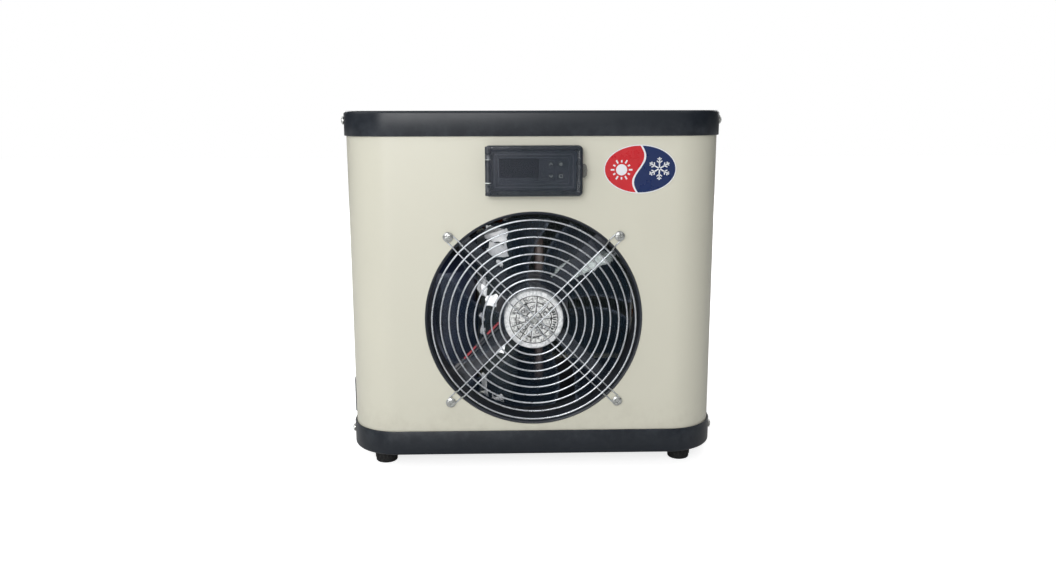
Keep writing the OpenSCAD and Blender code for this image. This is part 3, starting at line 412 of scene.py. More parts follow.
class Build:
    """Collects points in mm and faces, then makes them one object in metres."""

    def __init__(self, place=None):
        self.place = place or Matrix.Identity(4)
        self.points, self.faces, self.slots = [], [], []

    def add(self, points, faces, mat=0, place=None):
        start = len(self.points)
        move = self.place @ place if place is not None else self.place
        self.points += [move @ Vector(p) for p in points]
        self.faces += [[start + i for i in f] for f in faces]
        self.slots += [mat] * len(faces)
        return self

    def rows(self, rows, wrap=True, loop=False, caps=(False, False), mat=0, place=None):
        """Faces between rows of equally many points.

        wrap closes each row, and loop joins the last row to the first.
        """
        n, faces = len(rows[0]), []
        count = len(rows) if loop else len(rows) - 1
        for i in range(count):
            a, b = i * n, (i + 1) % len(rows) * n
            for j in range(n if wrap else n - 1):
                k = (j + 1) % n
                faces.append([a + j, a + k, b + k, b + j])
        if caps[0]:
            faces.append(list(range(n)))
        if caps[1]:
            faces.append(list(range((len(rows) - 1) * n, len(rows) * n)))
        return self.add([p for row in rows for p in row], faces, mat, place)

    def solid(self, rows, **how):
        return self.rows(rows, caps=(True, True), **how)

    def lathe(self, profile, segs=96, mat=0, place=None, loop=False):
        """Turns a profile of (radius, height) about local Z. A radius of 0 becomes a pole."""
        points, faces, starts = [], [], []
        for r, h in profile:
            starts.append(len(points))
            points += [(0, 0, h)] if r < 1e-6 else circle(r, segs, h)
        pairs = list(zip(range(len(profile) - 1), range(1, len(profile))))
        if loop:
            pairs.append((len(profile) - 1, 0))
        for a, b in pairs:
            pole_a, pole_b = profile[a][0] < 1e-6, profile[b][0] < 1e-6
            for i in range(segs):
                k = (i + 1) % segs
                ia, ka = (0, 0) if pole_a else (i, k)
                ib, kb = (0, 0) if pole_b else (i, k)
                f = list(dict.fromkeys([starts[a] + ia, starts[a] + ka, starts[b] + kb, starts[b] + ib]))
                if len(f) > 2:
                    faces.append(f)
        return self.add(points, faces, mat, place)

    def wire(self, path, radius, sides=12, closed=False, mat=0, place=None):
        """Round wire along a path of points."""
        pts = [Vector(p) for p in path]
        n = len(pts)
        tangents = []
        for i in range(n):
            if closed:
                t = pts[(i + 1) % n] - pts[i - 1]
            else:
                t = pts[min(i + 1, n - 1)] - pts[max(i - 1, 0)]
            tangents.append(t.normalized())
        ref = Vector((0, 0, 1)) if abs(tangents[0].z) < 0.9 else Vector((1, 0, 0))
        side = tangents[0].cross(ref).normalized()
        sides_at = [side]
        for i in range(1, n):
            turn = tangents[i - 1].rotation_difference(tangents[i])
            side = turn @ side
            side = (side - tangents[i] * side.dot(tangents[i])).normalized()
            sides_at.append(side)
        twist = 0.0
        if closed:
            back = tangents[-1].rotation_difference(tangents[0]) @ sides_at[-1]
            twist = atan2(back.cross(sides_at[0]).dot(tangents[0]), back.dot(sides_at[0]))
        rows = []
        for i in range(n):
            u = Matrix.Rotation(twist * i / n, 3, tangents[i]) @ sides_at[i]
            w = tangents[i].cross(u)
            rows.append([pts[i] + radius * (cos(TAU * k / sides) * u + sin(TAU * k / sides) * w)
                         for k in range(sides)])
        return self.rows(rows, loop=closed, caps=(not closed, not closed), mat=mat, place=place)

    def block(self, lo, hi, bevel=0.4, mat=0, place=None):
        """Box with chamfered edges, from its lowest to its highest corner."""
        bm = bmesh.new()
        bmesh.ops.create_cube(bm, size=1)
        lo, hi = Vector(lo), Vector(hi)
        for v in bm.verts:
            v.co = Vector(((lo[i] + hi[i]) / 2 + v.co[i] * (hi[i] - lo[i]) for i in range(3)))
        if bevel:
            bmesh.ops.bevel(bm, geom=list(bm.edges), offset=bevel, segments=2, profile=0.7, affect="EDGES")
        bm.verts.index_update()
        points = [v.co.copy() for v in bm.verts]
        faces = [[v.index for v in f.verts] for f in bm.faces]
        bm.free()
        return self.add(points, faces, mat, place)

    def mesh(self, name, mats=()):
        me = bpy.data.meshes.new(name)
        me.from_pydata([p * MM for p in self.points], [], self.faces)
        for key in mats:
            me.materials.append(M[key])
        me.polygons.foreach_set("material_index", self.slots)
        bm = bmesh.new()
        bm.from_mesh(me)
        bmesh.ops.recalc_face_normals(bm, faces=bm.faces)
        bm.to_mesh(me)
        bm.free()
        return me

    def make(self, name, mats, slot, replaces=(), body="casing", sharp=32, cuts=()):
        """The finished piece, riding on its body."""
        obj = add_object(name, self.mesh(name, mats))
        for cutter in cuts:
            tool = add_object("cutter", cutter.mesh("cutter"))
            mod = obj.modifiers.new("cut", "BOOLEAN")
            mod.object, mod.operation, mod.solver = tool, "DIFFERENCE", "EXACT"
            depsgraph = bpy.context.evaluated_depsgraph_get()
            cut_mesh = bpy.data.meshes.new_from_object(obj.evaluated_get(depsgraph))
            obj.modifiers.clear()
            obj.data = cut_mesh
            bpy.data.objects.remove(tool)
        smooth(obj.data, sharp)
        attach(obj, body)
        if replaces:
            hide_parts(*replaces)
        return obj


def smooth(mesh, angle):
    mesh.shade_smooth()
    mesh.set_sharp_from_angle(angle=radians(angle))


def arc(cx, cy, r, a0, a1, n):
    """Points of an arc, angles in degrees."""
    return [(cx + r * cos(radians(a0 + (a1 - a0) * i / n)),
             cy + r * sin(radians(a0 + (a1 - a0) * i / n))) for i in range(n + 1)]


def rounded(w, h, r, n, support):
    """Closed outline of a rounded rectangle. A point close to each corner keeps the flats flat."""
    out = []
    for k, (sx, sy) in enumerate(((1, 1), (-1, 1), (-1, -1), (1, -1))):
        cx, cy = sx * (w / 2 - r), sy * (h / 2 - r)
        a0 = 90 * k
        pts = arc(cx, cy, r, a0, a0 + 90, n)
        t0, t1 = radians(a0 - 90), radians(a0 + 180)
        first = (pts[0][0] + support * cos(t0), pts[0][1] + support * sin(t0))
        last = (pts[-1][0] + support * cos(t1), pts[-1][1] + support * sin(t1))
        out += [first] + pts + [last]
    return out


def ring(w, d, r, inset, z, n, middle=(0, 0), support=1.5):
    """Row of points: a rounded rectangle pulled in by an inset, at a height."""
    return [(x + middle[0], y + middle[1], z)
            for x, y in rounded(w - 2 * inset, d - 2 * inset, max(r - inset, 0.05), n, support)]


def edge_steps(radius, n=5):
    """(inset, drop) pairs round an outside edge, from the wall to the flat."""
    quarter = (pi / 2 * i / n for i in range(n + 1))
    return [(radius * (1 - cos(t)), radius * (1 - sin(t))) for t in quarter]


# ---- sizes that several pieces share, in mm

CORNER = 46.0
SHEET = 1.2
SHELL = 1.7
FAN = centre("rotor_can")
CTRL = centre("control_housing")
OPENING = 104.9
GUARD_SCREW = 115.0
RINGS, RING_OUT, RING_IN, RING_WIRE = 9, 97.6, 33.0, 0.85
RING_PITCH = (RING_OUT - RING_IN) / (RINGS - 1)
RING_DEPTH, SPOKE_WIRE, TWIN = -5.5, 0.65, 4.0
ROTOR_R = 28.7
BLADES, BLADE_START = 5, 20.0
BLADE_TIP, BLADE_FRONT, BLADE_DEPTH, SLEEVE = 97.5, 9.0, 30.0, 1.8
FACE_W, FACE_H, WINDOW_W, WINDOW_H = 79.6, 36.6, 72.0, 30.0
HINGE_R = 2.85
LIP = 0.5


# ---- casing

def slab_row(lo, hi):
    """Gives a function for the row of a lid or tray at an inset and a height."""
    w, d = hi.x - lo.x, hi.y - lo.y
    r = CORNER + (w / 2 - HALF_W)
    middle = ((lo.x + hi.x) / 2, (lo.y + hi.y) / 2)
    return lambda inset, z: ring(w, d, r, inset, z, 28, middle)


def top_cover():
    """Thin-walled lid, open below, with a shallow pressed panel in its top."""
    lo, hi = corners("top_cover")
    at = slab_row(lo, hi)
    rows = [at(SHELL, hi.z - 2.5), at(SHELL, lo.z + LIP), at(SHELL - LIP, lo.z)]
    rows += [at(LIP, lo.z), at(LIP * 0.3, lo.z + LIP * 0.3), at(0, lo.z + LIP)]
    pressed = [(15, 0), (15.6, 0.15), (16.6, 0.65), (17.2, 0.8)]
    rows += [at(i, hi.z - drop) for i, drop in edge_steps(2.6) + pressed]
    Build().solid(rows).make("top_cover_shell", ["cover"], "cover_dark", ["top_cover"])


def tray():
    """Thin-walled base tray, open above."""
    lo, hi = corners("base_tray")
    at = slab_row(lo, hi)
    rows = [at(i, lo.z + drop) for i, drop in reversed(edge_steps(3.0))]
    rows += [at(0, hi.z - LIP), at(LIP * 0.3, hi.z - LIP * 0.3), at(LIP, hi.z)]
    rows += [at(SHELL - LIP, hi.z), at(SHELL, hi.z - LIP), at(SHELL, lo.z + 2)]
    Build().solid(rows).make("tray_shell", ["cover"], "cover_dark", ["base_tray"])


def wrap_path(inset):
    """The wrap's outline seen from above, from one rear edge to the other."""
    r = CORNER - inset
    x, y0, y1 = HALF_W - inset, FRONT + inset, REAR - inset
    n = 28
    pts = arc(-x + r, y1 - r, r, 90, 180, n)
    pts += [(-x, y1 - r - 2), (-x, y0 + r + 2)]
    pts += arc(-x + r, y0 + r, r, 180, 270, n)
    pts += [(-x + r + 2, y0), (x - r - 2, y0)]
    pts += arc(x - r, y0 + r, r, 270, 360, n)
    pts += [(x, y0 + r + 2), (x, y1 - r - 2)]
    return pts + arc(x - r, y1 - r, r, 0, 90, n)


def wrap():
    """One bent sheet, open at the back, with its two openings cut in the front."""
    outside, inside = wrap_path(0), wrap_path(SHEET)
    rows = [[(x, y, z) for x, y in path] for path, z in
            ((outside, wrap_lo.z), (outside, wrap_hi.z), (inside, wrap_hi.z), (inside, wrap_lo.z))]
    build = Build().rows(rows, wrap=False, loop=True)
    n = len(outside)
    build.faces += [[0, n, 2 * n, 3 * n], [n - 1, 2 * n - 1, 3 * n - 1, 4 * n - 1]]
    build.slots += [0, 0]
    hole = Build(into_front(FAN.x, FAN.z, -3))
    hole.lathe([(0, 0), (OPENING, 0), (OPENING, 8), (0, 8)], 180)
    x, z = WINDOW_W / 2, WINDOW_H / 2
    window = Build().block((CTRL.x - x, FRONT - 3, CTRL.z - z), (CTRL.x + x, FRONT + 5, CTRL.z + z), 0)
    build.make("wrap_sheet", ["cream"], "casing_cream", ["body_wrap"], cuts=[hole, window])


top_cover()
tray()
wrap()


# ---- screws

def screw_head(build, place, radius, height, rings=14, segs=56):
    """Domed head with a cross recess. Its underside is at local z = 0 and it stands towards -Z."""
    arm, half, slot_depth = 0.56 * radius, 0.15 * radius, 0.55

    def soft(v, limit):
        return max(0.0, min(1.0, (limit - v) / (0.1 * radius) + 0.5))
    rows = []
    for i in range(1, rings + 1):
        r = radius * i / rings
        dome = height * sqrt(max(0, 1 - (r / (1.1 * radius)) ** 2))
        row = []
        for x, y, _ in circle(r, segs, 0):
            u, v = abs(x), abs(y)
            recess = max(soft(u, half) * soft(v, arm), soft(v, half) * soft(u, arm))
            row.append((x, y, -dome + recess * height * slot_depth))
        rows.append(row)
    rows.append([(x, y, 0) for x, y, _ in rows[-1]])
    start = len(build.points)
    build.rows(rows, caps=(False, True), place=place)
    build.add([(0, 0, -height * (1 - slot_depth))], [], 0, place)
    middle = len(build.points) - 1
    build.faces += [[middle, start + k, start + (k + 1) % segs] for k in range(segs)]
    build.slots += [0] * segs


def screw(build, place, radius, height, shank, length, segs=20):
    """A screw with its head, and a plain shank with a chamfered tip."""
    screw_head(build, place, radius, height)
    tip = 0.6
    profile = [(0, 0), (shank, 0), (shank, length - tip), (shank - tip, length), (0, length)]
    build.lathe(profile, segs, 0, place)


def guard_screws():
    build = Build()
    for k, a in enumerate((45, 135, 225, 315)):
        x = FAN.x + GUARD_SCREW * cos(radians(a))
        z = FAN.z + GUARD_SCREW * sin(radians(a))
        screw(build, into_front(x, z, -1.5) @ turned(0.5 + k * 1.1), 4.8, 2.2, 2, 12, 24)
    build.make("guard_screw_heads", ["zinc"], "zinc_steel", ["guard_screws"])


def side_screws(node, name):
    lo, hi = corners(node)
    z = (lo.z + hi.z) / 2
    build = Build()
    for side in (-1, 1):
        for k, y in enumerate((lo.y + 4, hi.y - 4)):
            place = moved(side * (HALF_W + 2), y, z) @ turned(side * -pi / 2, "Y")
            screw(build, place @ turned(0.3 + k), 4.0, 2.4, 2, 8)
    build.make(name, ["zinc"], "zinc_steel", [node])


def rear_screws():
    lo, hi = corners("rear_screws")
    build = Build()
    for x in (lo.x + 3.4, hi.x - 3.4):
        for k, z in enumerate((60, 178, 300)):
            place = out_of_rear(x, z, 0) @ turned(pi, "X") @ turned(0.4 + k)
            screw(build, place, 3.4, 1.9, 1.8, 8)
    build.make("rear_screw_heads", ["zinc"], "zinc_steel", ["rear_screws"])


guard_screws()
side_screws("lid_screws", "lid_screw_heads")
side_screws("tray_screws", "tray_screw_heads")
rear_screws()


# ---- feet

def feet():
    lo, hi = corners("feet")
    top = hi.z
    build = Build()
    profile = [(3.0, top), (12.0, top), (12.0, top - 1.2), (11.6, top - 2.0), (11.0, 6.0), (10.9, 4.0)]
    profile += [(9.0 + 1.8 * cos(t), 1.9 - 1.9 * sin(t)) for t in (0.2, 0.6, 1.0, 1.3, pi / 2)]
    profile += [(5.6, 0), (5.0, 0.6), (5.0, 8.0), (3.0, 8.0)]
    for x in (lo.x + 12, hi.x - 12):
        for y in (lo.y + 12, hi.y - 12):
            place = moved(x, y, 0)
            build.lathe(profile, 72, 0, place, True)
            # Moulded ribs round the puck
            for i in range(18):
                build.block((10.4, -0.7, 4.5), (11.5, 0.7, top - 2.2), 0.3, 0,
                            place @ turned(TAU * i / 18))
    build.make("rubber_feet", ["rubber"], "rubber", ["feet"])


feet()


# ---- fan

def shroud():
    flange, barrel, length = 120.0, 102.0, 45.0
    profile = [(flange, 0), (flange, 3), (barrel + 2, 3), (barrel + 2, length - 3)]
    profile += [(barrel + 8, length - 3), (barrel + 8, length), (barrel, length)]
    profile += [(barrel + inset, drop) for inset, drop in edge_steps(2.6, 6)]
    build = Build(into_front(FAN.x, FAN.z, SHEET + 0.1))
    build.lathe(profile, 160, loop=True)
    # Stiffening ribs behind the flange
    sides = ((barrel + 1.8, 2.9), (flange - 3, 2.9), (barrel + 1.8, 18))
    rib = [(x, y, z) for y in (-0.8, 0.8) for x, z in sides]
    faces = [[0, 1, 2], [5, 4, 3], [0, 3, 4, 1], [1, 4, 5, 2], [2, 5, 3, 0]]
    for i in range(24):
        build.add(rib, faces, 0, turned(TAU * (i + 0.5) / 24))
    build.make("shroud_moulding", ["shroud"], "black_plastic", ["fan_shroud"])


def eased(a, b, n):
    """Points of a soft S between two points, both ends left out."""
    out = []
    for i in range(1, n):
        t = i / n
        rise = t * t * (3 - 2 * t)
        out.append((a[0] + (b[0] - a[0]) * t, a[1] + (b[1] - a[1]) * rise))
    return out


def guard_rings(place):
    build = Build(place)
    for i in range(RINGS):
        r = RING_IN + i * RING_PITCH
        section = [(r + x, y) for x, y, _ in circle(RING_WIRE, 12, 0)]
        rows = [[(x * cos(a), x * sin(a), RING_DEPTH + y) for x, y in section]
                for a in (TAU * k / 160 for k in range(160))]
        build.rows(rows, loop=True)
    build.make("guard_ring_wires", ["chrome"], "bright_steel", ["guard_rings"])


def twin_wire(depth, eye):
    """Two wires side by side across the guard, joined in an eye round each screw."""
    bend_out, bend_in = RING_OUT + 1.5, RING_OUT + 8.5
    middle = [(-bend_out + 2 * bend_out * t / 12, depth) for t in range(13)]
    tail = eased((bend_out, depth), (bend_in, eye), 8) + [(bend_in, eye), (GUARD_SCREW, eye)]
    line = [(-x, d) for x, d in reversed(tail)] + middle + tail

    def round_screw(side):
        return [(side * (GUARD_SCREW + TWIN * cos(radians(a))), side * TWIN * sin(radians(a)), eye)
                for a in range(-78, 79, 12)]
    there = [(x, -TWIN, d) for x, d in line]
    back = [(x, TWIN, d) for x, d in reversed(line)]
    return there + round_screw(1) + back + round_screw(-1)


def guard_spokes(place):
    reach = RING_WIRE + SPOKE_WIRE
    build = Build(place)
    for angle, depth in ((45, RING_DEPTH + reach), (135, RING_DEPTH - reach)):
        path = twin_wire(depth, -SPOKE_WIRE - 0.1)
        build.wire(path, SPOKE_WIRE, 12, True, place=turned(radians(angle)))
    # Weld spots where the wires touch
    spot = [(0, -0.45), (0.75, -0.3), (1.0, 0), (0.75, 0.3), (0, 0.45)]
    for angle, depth in ((45, RING_DEPTH + RING_WIRE), (135, RING_DEPTH - RING_WIRE)):
        for i in range(RINGS):
            r = RING_IN + i * RING_PITCH
            x = sqrt(r * r - TWIN * TWIN)
            for end in (0, 180):
                for y in (-TWIN, TWIN):
                    build.lathe(spot, 12, 0, turned(radians(angle + end)) @ moved(x, y, depth))
    build.make("guard_spoke_wires", ["chrome"], "bright_steel", ["guard_spokes"])


def blade_middle(t, s):
    """Point of a blade's middle surface: t from root to tip, s from -1 to 1 across it."""
    root, tip = ROTOR_R + SLEEVE - 0.4, BLADE_TIP - 0.3
    r = root + (tip - root) * t
    sweep = radians(16) * t * t
    half = radians(25 + 8 * t) * (1 - 0.16 * t ** 7 * (s * s if s > 0 else 0.35 * s * s))
    a = sweep + half * s
    lean = 11.2 - 2.0 * t
    depth = BLADE_DEPTH / 2 - lean * sin(s * 1.25) / sin(1.25) + 2.4 * (1 - s * s) - 1.2
    return Vector((r * cos(a), r * sin(a), depth))


def blade_row(t, steps, thick):
    """Closed row of points round a blade at one distance from its root."""
    front, back = [], []
    for j in range(steps + 1):
        s = -1 + 2 * j / steps
        outward = blade_middle(min(t + 0.01, 1), s) - blade_middle(max(t - 0.01, 0), s)
        across = blade_middle(t, min(s + 0.01, 1)) - blade_middle(t, max(s - 0.01, -1))
        half = thick / 2 * (1 - 0.75 * abs(s) ** 6) * (1 - 0.6 * t ** 10)
        step = outward.cross(across).normalized() * half
        front.append(blade_middle(t, s) + step)
        back.append(blade_middle(t, s) - step)
    return front + back[::-1]


def blades():
    """Swept, cambered blades on a hub sleeve."""
    build = Build(into_front(FAN.x, FAN.z, BLADE_FRONT))
    e, bore, outside = 0.7, ROTOR_R + 0.02, ROTOR_R + SLEEVE
    build.lathe([(bore, 0), (outside - e, 0), (outside, e), (outside, BLADE_DEPTH - e),
                 (outside - e, BLADE_DEPTH), (bore, BLADE_DEPTH)], 120, loop=True)
    steps = 22
    rows = [blade_row(i / steps, steps, 1.5) for i in range(steps + 1)]
    for b in range(BLADES):
        build.solid(rows, place=turned(TAU * b / BLADES + radians(BLADE_START)))
    build.make("fan_blade_moulding", ["blade"], "gloss_black", ["fan_blades"], "fan", 40)


def rotor():
    """Outer-rotor can: a bright rim band, a cast web with ribs and grooves, and a boss. Its grooves, its
    pockets and the seams beside its ribs are painted dark as shade.
    """
    R, wall = ROTOR_R, ROTOR_R - 1.98
    band, web, dish, boss = 23.7, 17.4, 8.0, 4.02
    # Finishes: bright alloy, cast alloy, and a dark alloy that paints shade
    bright, cast, painted_shade = range(3)
    build = Build(into_front(FAN.x, FAN.z, 1.5))
    for mat, profile in (
            (bright, [(wall, 9), (wall, 44.9), (R, 44.9), (R, 1.2), (R - 0.35, 0.5), (R - 1.2, 0.0),
                      (band, 0.0)]),
            (painted_shade, [(band, 0.0), (band - 0.1, 0.7), (band - 0.6, 0.8), (band - 0.7, 0.3)]),
            (cast, [(band - 0.7, 0.3), (band - 2.4, 0.25), (web + 0.3, 0.45)]),
            (painted_shade, [(web + 0.3, 0.45), (web + 0.1, 1.0), (web - 0.5, 1.0), (web - 0.6, 0.35)]),
            (cast, [(web - 0.6, 0.35), (web - 2.2, 0.3), (web - 2.6, 0.6), (dish + 0.5, 0.7)]),
            (painted_shade, [(dish + 0.5, 0.7), (dish + 0.3, 1.1), (dish - 0.2, 1.1), (dish - 0.4, 0.3)]),
            (cast, [(dish - 0.4, 0.3), (boss + 0.5, 0.2), (boss + 0.1, 0.5), (boss, 9), (wall, 9)])):
        build.lathe(profile, 120, mat)
    # Ribs of the web, each with a painted shadow in dark alloy beside it
    for k, angle in enumerate((8, 47, 83, 118, 161, 200, 236, 264, 305, 337)):
        turn = turned(radians(-angle))
        inner = dish + 0.8 if k % 2 else dish - 2.2
        build.block((inner, -0.5, 0.22), (web - 2.0 + 3.0 * (k % 3 > 0), 0.5, 1.4), 0.2, bright, turn)
        build.block((inner, 0.55, 0.2), (band + 1.5 - 6 * (k % 3 == 1), 1.2, 1.3), 0.05, painted_shade, turn)
    # Balance bosses, each in a pocket painted dark as shade: angle, distance from the axis, radius
    for angle, r, size in ((28, 12.6, 2.1), (100, 12.0, 1.6), (142, 13.2, 1.9),
                           (220, 12.4, 2.2), (284, 12.8, 1.7), (322, 12.2, 2.0)):
        spot = turned(radians(-angle)) @ moved(r, 0, 0)
        build.lathe([(0, 0.25), (size * 0.5, 0.25), (size * 0.62, 0.5)], 24, bright, spot)
        build.lathe([(size * 0.62, 0.5), (size * 0.95, 0.52), (size, 0.72)], 24, painted_shade, spot)
    # Row of raised ticks on the rim band, a scale for balancing, in the dark alloy of the painted shade
    for k in range(11):
        build.block((18.6, -0.6, 0.1), (22.2 - 0.9 * (k % 2), 0.6, 1.0), 0.15, painted_shade,
                    turned(radians(-35 + 7 * k)))
    finish = ["alloy", "alloy_web", "alloy_painted_shade"]
    build.make("rotor_casting", finish, "cast_alloy", ["rotor_can"], "fan", 28)


def shaft():
    build = Build(into_front(FAN.x, FAN.z, 2.5))
    build.lathe([(0, 0), (1.2, 0), (1.6, 0.5), (3.4, 0.5), (4.0, 1.1), (4.0, 51.4), (3.4, 52), (0, 52)], 48)
    build.make("shaft_bar", ["zinc"], "zinc_steel", ["motor_shaft"], "fan")


shroud()
guard_rings(into_front(FAN.x, FAN.z, 0))
guard_spokes(into_front(FAN.x, FAN.z, 0))
blades()
rotor()
shaft()


# ---- control box

def outline(w, h, r, inset, z):
    """Row of a small rounded rectangle."""
    return ring(w, h, r, inset, z, 10, support=0.8)


def housing():
    lo, hi = corners("control_housing")
    w, h = hi.x - lo.x, hi.z - lo.z
    depth = 10.0
    place = on_front(CTRL.x, CTRL.z, 0.1)
    rows = [outline(w, h, 4, 0, 0)]
    rows += [outline(w, h, 4, i, depth - 0.1 - d) for i, d in edge_steps(1.2, 4)]
    mouth = ((-1.0, depth - 0.1), (-0.3, depth - 0.4), (0, depth - 1.1), (0, 0))
    rows += [outline(FACE_W + 0.6, FACE_H + 0.6, 1.2, i, z) for i, z in mouth]
    build = Build(place).rows(rows, loop=True)
    # Hinge lugs on the left edge
    hinge = centre("hinge_pin")
    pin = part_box("hinge_pin")
    for z0 in (pin[0].z / MM, pin[1].z / MM - 7):
        lug = []
        for z, e in ((z0, 0.4), (z0 + 0.4, 0), (z0 + 6.6, 0), (z0 + 7, 0.4)):
            r = HINGE_R - e
            row = [(r * cos(radians(a)), -r * sin(radians(a)), z) for a in range(0, 181, 15)]
            lug.append(row + [(-r, 3.6 - e, z), (r, 3.6 - e, z)])
        build.solid(lug, place=place.inverted() @ moved(hinge.x, hinge.y, 0))
    build.make("housing_frame", ["gloss"], "gloss_black", ["control_housing"])


def controller():
    build = Build(on_front(CTRL.x, CTRL.z, 0.1))
    rows = [outline(FACE_W, FACE_H, 2, 0, 0)]
    rows += [outline(FACE_W, FACE_H, 2, i, 7.5 - d) for i, d in edge_steps(0.8, 3)]
    build.solid(rows)
    build.block((-35.3, -14.3, -52), (35.3, 14.3, 0.5), 0.6)
    # Raised rims that show through the cover
    for width, height, thick in ((74.5, 31.8, 1.5), (66.0, 25.0, 1.0)):
        steps = ((0, 7.4), (0.2, 8.0), (thick - 0.3, 8.1), (thick, 7.4))
        build.rows([outline(width, height, 2.0, i, z) for i, z in steps], loop=True, mat=1)
    build.make("controller_face", ["bezel", "rim"], "black_plastic", ["controller_body"])


def display():
    """Plain display pane, switched off."""
    lo, hi = corners("display_window")
    w, h = hi.x - lo.x, hi.z - lo.z
    front = -(lo.y - FRONT)
    build = Build(on_front((lo.x + hi.x) / 2, (lo.z + hi.z) / 2, 0))
    steps = ((0, front - 0.9), (0, front - 0.25), (0.25, front))
    build.solid([ring(w, h, 1.0, i, z, 6) for i, z in steps])
    build.make("display_pane", ["glass"], "display_glass", ["display_window"])


def stitch(build, outer, inner):
    """Flat rim of triangles between two closed outlines with unlike numbers of points."""
    start = len(build.points)
    build.add(outer + inner, [])
    o, c = [Vector(p) for p in outer], [Vector(p) for p in inner]
    no, ni = len(o), len(c)
    i = j = 0
    while i < no or j < ni:
        next_o, next_c = (i + 1) % no, (j + 1) % ni
        nearer = (o[next_o] - c[j % ni]).length <= (c[next_c] - o[i % no]).length
        corner_a, corner_b = start + i % no, start + no + j % ni
        if i < no and (j >= ni or nearer):
            build.faces.append([corner_a, start + next_o, corner_b])
            i += 1
        else:
            build.faces.append([corner_a, start + no + next_c, corner_b])
            j += 1
        build.slots.append(0)


def knuckles(build, place, low, high):
    """Hinge barrel, split round the two lugs, with pale washers between its middle parts."""
    pin_lo, pin_hi = corners("hinge_pin")
    washers, gap = (CTRL.z - 10.7, CTRL.z + 10.7), 0.35
    ends = [low, pin_lo.z - 0.3, pin_lo.z + 7.3, washers[0] - gap, washers[0] + gap]
    ends += [washers[1] - gap, washers[1] + gap, pin_hi.z - 7.3, pin_hi.z + 0.3, high]
    for z0, z1 in zip(ends[::2], ends[1::2]):
        barrel = []
        for z, e in ((z0, 0.3), (z0 + 0.3, 0), (z1 - 0.3, 0), (z1, 0.3)):
            r = HINGE_R - e
            barrel.append([(r * cos(radians(a)), r * sin(radians(a)), z) for a in range(0, 360, 12)])
        build.solid(barrel, mat=2, place=place)
    section = [(1.6, -gap), (HINGE_R, -gap), (HINGE_R, gap), (1.6, gap)]
    for z in washers:
        build.lathe(section, 32, 1, place @ moved(0, 0, z), True)


def cover():
    """Smoked flip cover: a shallow shell with rounded edges, a hinge barrel and a thumb tab."""
    lo, hi = corners("control_housing")
    w, h = hi.x - lo.x, hi.z - lo.z
    hinge = centre("hinge_pin")
    base, wall, deep = 10.3, 1.6, 2 * HINGE_R
    left = hinge.x - CTRL.x
    wide = w / 2 - left
    place = on_front(CTRL.x + (w / 2 + left) / 2, CTRL.z, base)

    def squared(inset, z):
        """Outline with round corners on the right only."""
        x0, x1, y1 = -wide / 2, wide / 2 - inset, h / 2 - inset
        r = max(4.0 - inset, 0.05)
        pts = [(x0, -y1), (x0 + 1, -y1), (x1 - r - 1, -y1)] + arc(x1 - r, -y1 + r, r, 270, 360, 10)
        pts += arc(x1 - r, y1 - r, r, 0, 90, 10) + [(x1 - r - 1, y1), (x0 + 1, y1), (x0, y1)]
        return [(x, y, z) for x, y in pts]

    def hollow(inset, z):
        x0, x1, y1 = -wide / 2 + 1.2 + inset, wide / 2 - wall - inset, h / 2 - wall - inset
        r, s = 2.4, 0.6
        pts = arc(x0 + s, -y1 + s, s, 180, 270, 4) + arc(x1 - r, -y1 + r, r, 270, 360, 8)
        pts += arc(x1 - r, y1 - r, r, 0, 90, 8) + arc(x0 + s, y1 - s, s, 90, 180, 4)
        return [(x, y, z) for x, y in pts]
    # Outside, with a shallow step round the window, then inside, then the rim between them
    shell = [squared(0, 0)] + [squared(i, deep - d) for i, d in edge_steps(1.8, 5)]
    shell += [squared(4.2, deep), squared(4.6, deep - 0.35)]
    build = Build(place).rows(shell, caps=(False, True))
    inner = [hollow(0, 0), hollow(0, deep - wall - 0.6), hollow(0.5, deep - wall - 0.1)]
    build.rows(inner, caps=(False, True))
    stitch(build, squared(0, 0), hollow(0, 0))
    knuckles(build, place.inverted() @ moved(hinge.x, hinge.y, 0), CTRL.z - h / 2 + 0.8, CTRL.z + h / 2 - 0.8)
    # Thumb tab
    tab = []
    x = w / 2 - 1
    for z, e in ((0.0, 0.3), (0.4, 0.0), (2.4, 0.0), (3.0, 0.5)):
        pts = [(x - 1.0, -6.4 + e), (x + 3.0, -6.4 + e), (x + 4.6 - e, -4.2), (x + 5.2 - e, 0)]
        pts += [(x + 4.6 - e, 4.2), (x + 3.0, 6.4 - e), (x - 1.0, 6.4 - e)]
        tab.append([(u, v + 0.3, z) for u, v in pts])
    build.solid(tab, place=place.inverted() @ on_front(CTRL.x, CTRL.z, base))
    finish = ["smoked", "icon", "shroud"]
    build.make("smoked_flip_cover", finish, "smoked_cover", ["flip_cover"], "cover", 40)


ICONS = {
    "button_up": [(-1.1, -0.6), (0, 0.9), (1.1, -0.6)],
    "button_down": [(-1.1, 0.6), (0, -0.9), (1.1, 0.6)],
    "button_set": [(-1.0, -0.9), (-1.0, 0.9), (1.0, 0.9), (1.0, -0.9), (-1.0, -0.9)],
    "button_power": [(0.75 * sin(a), 0.75 * cos(a))
                     for a in (0.7 + i * (TAU - 1.4) / 14 for i in range(15))],
}


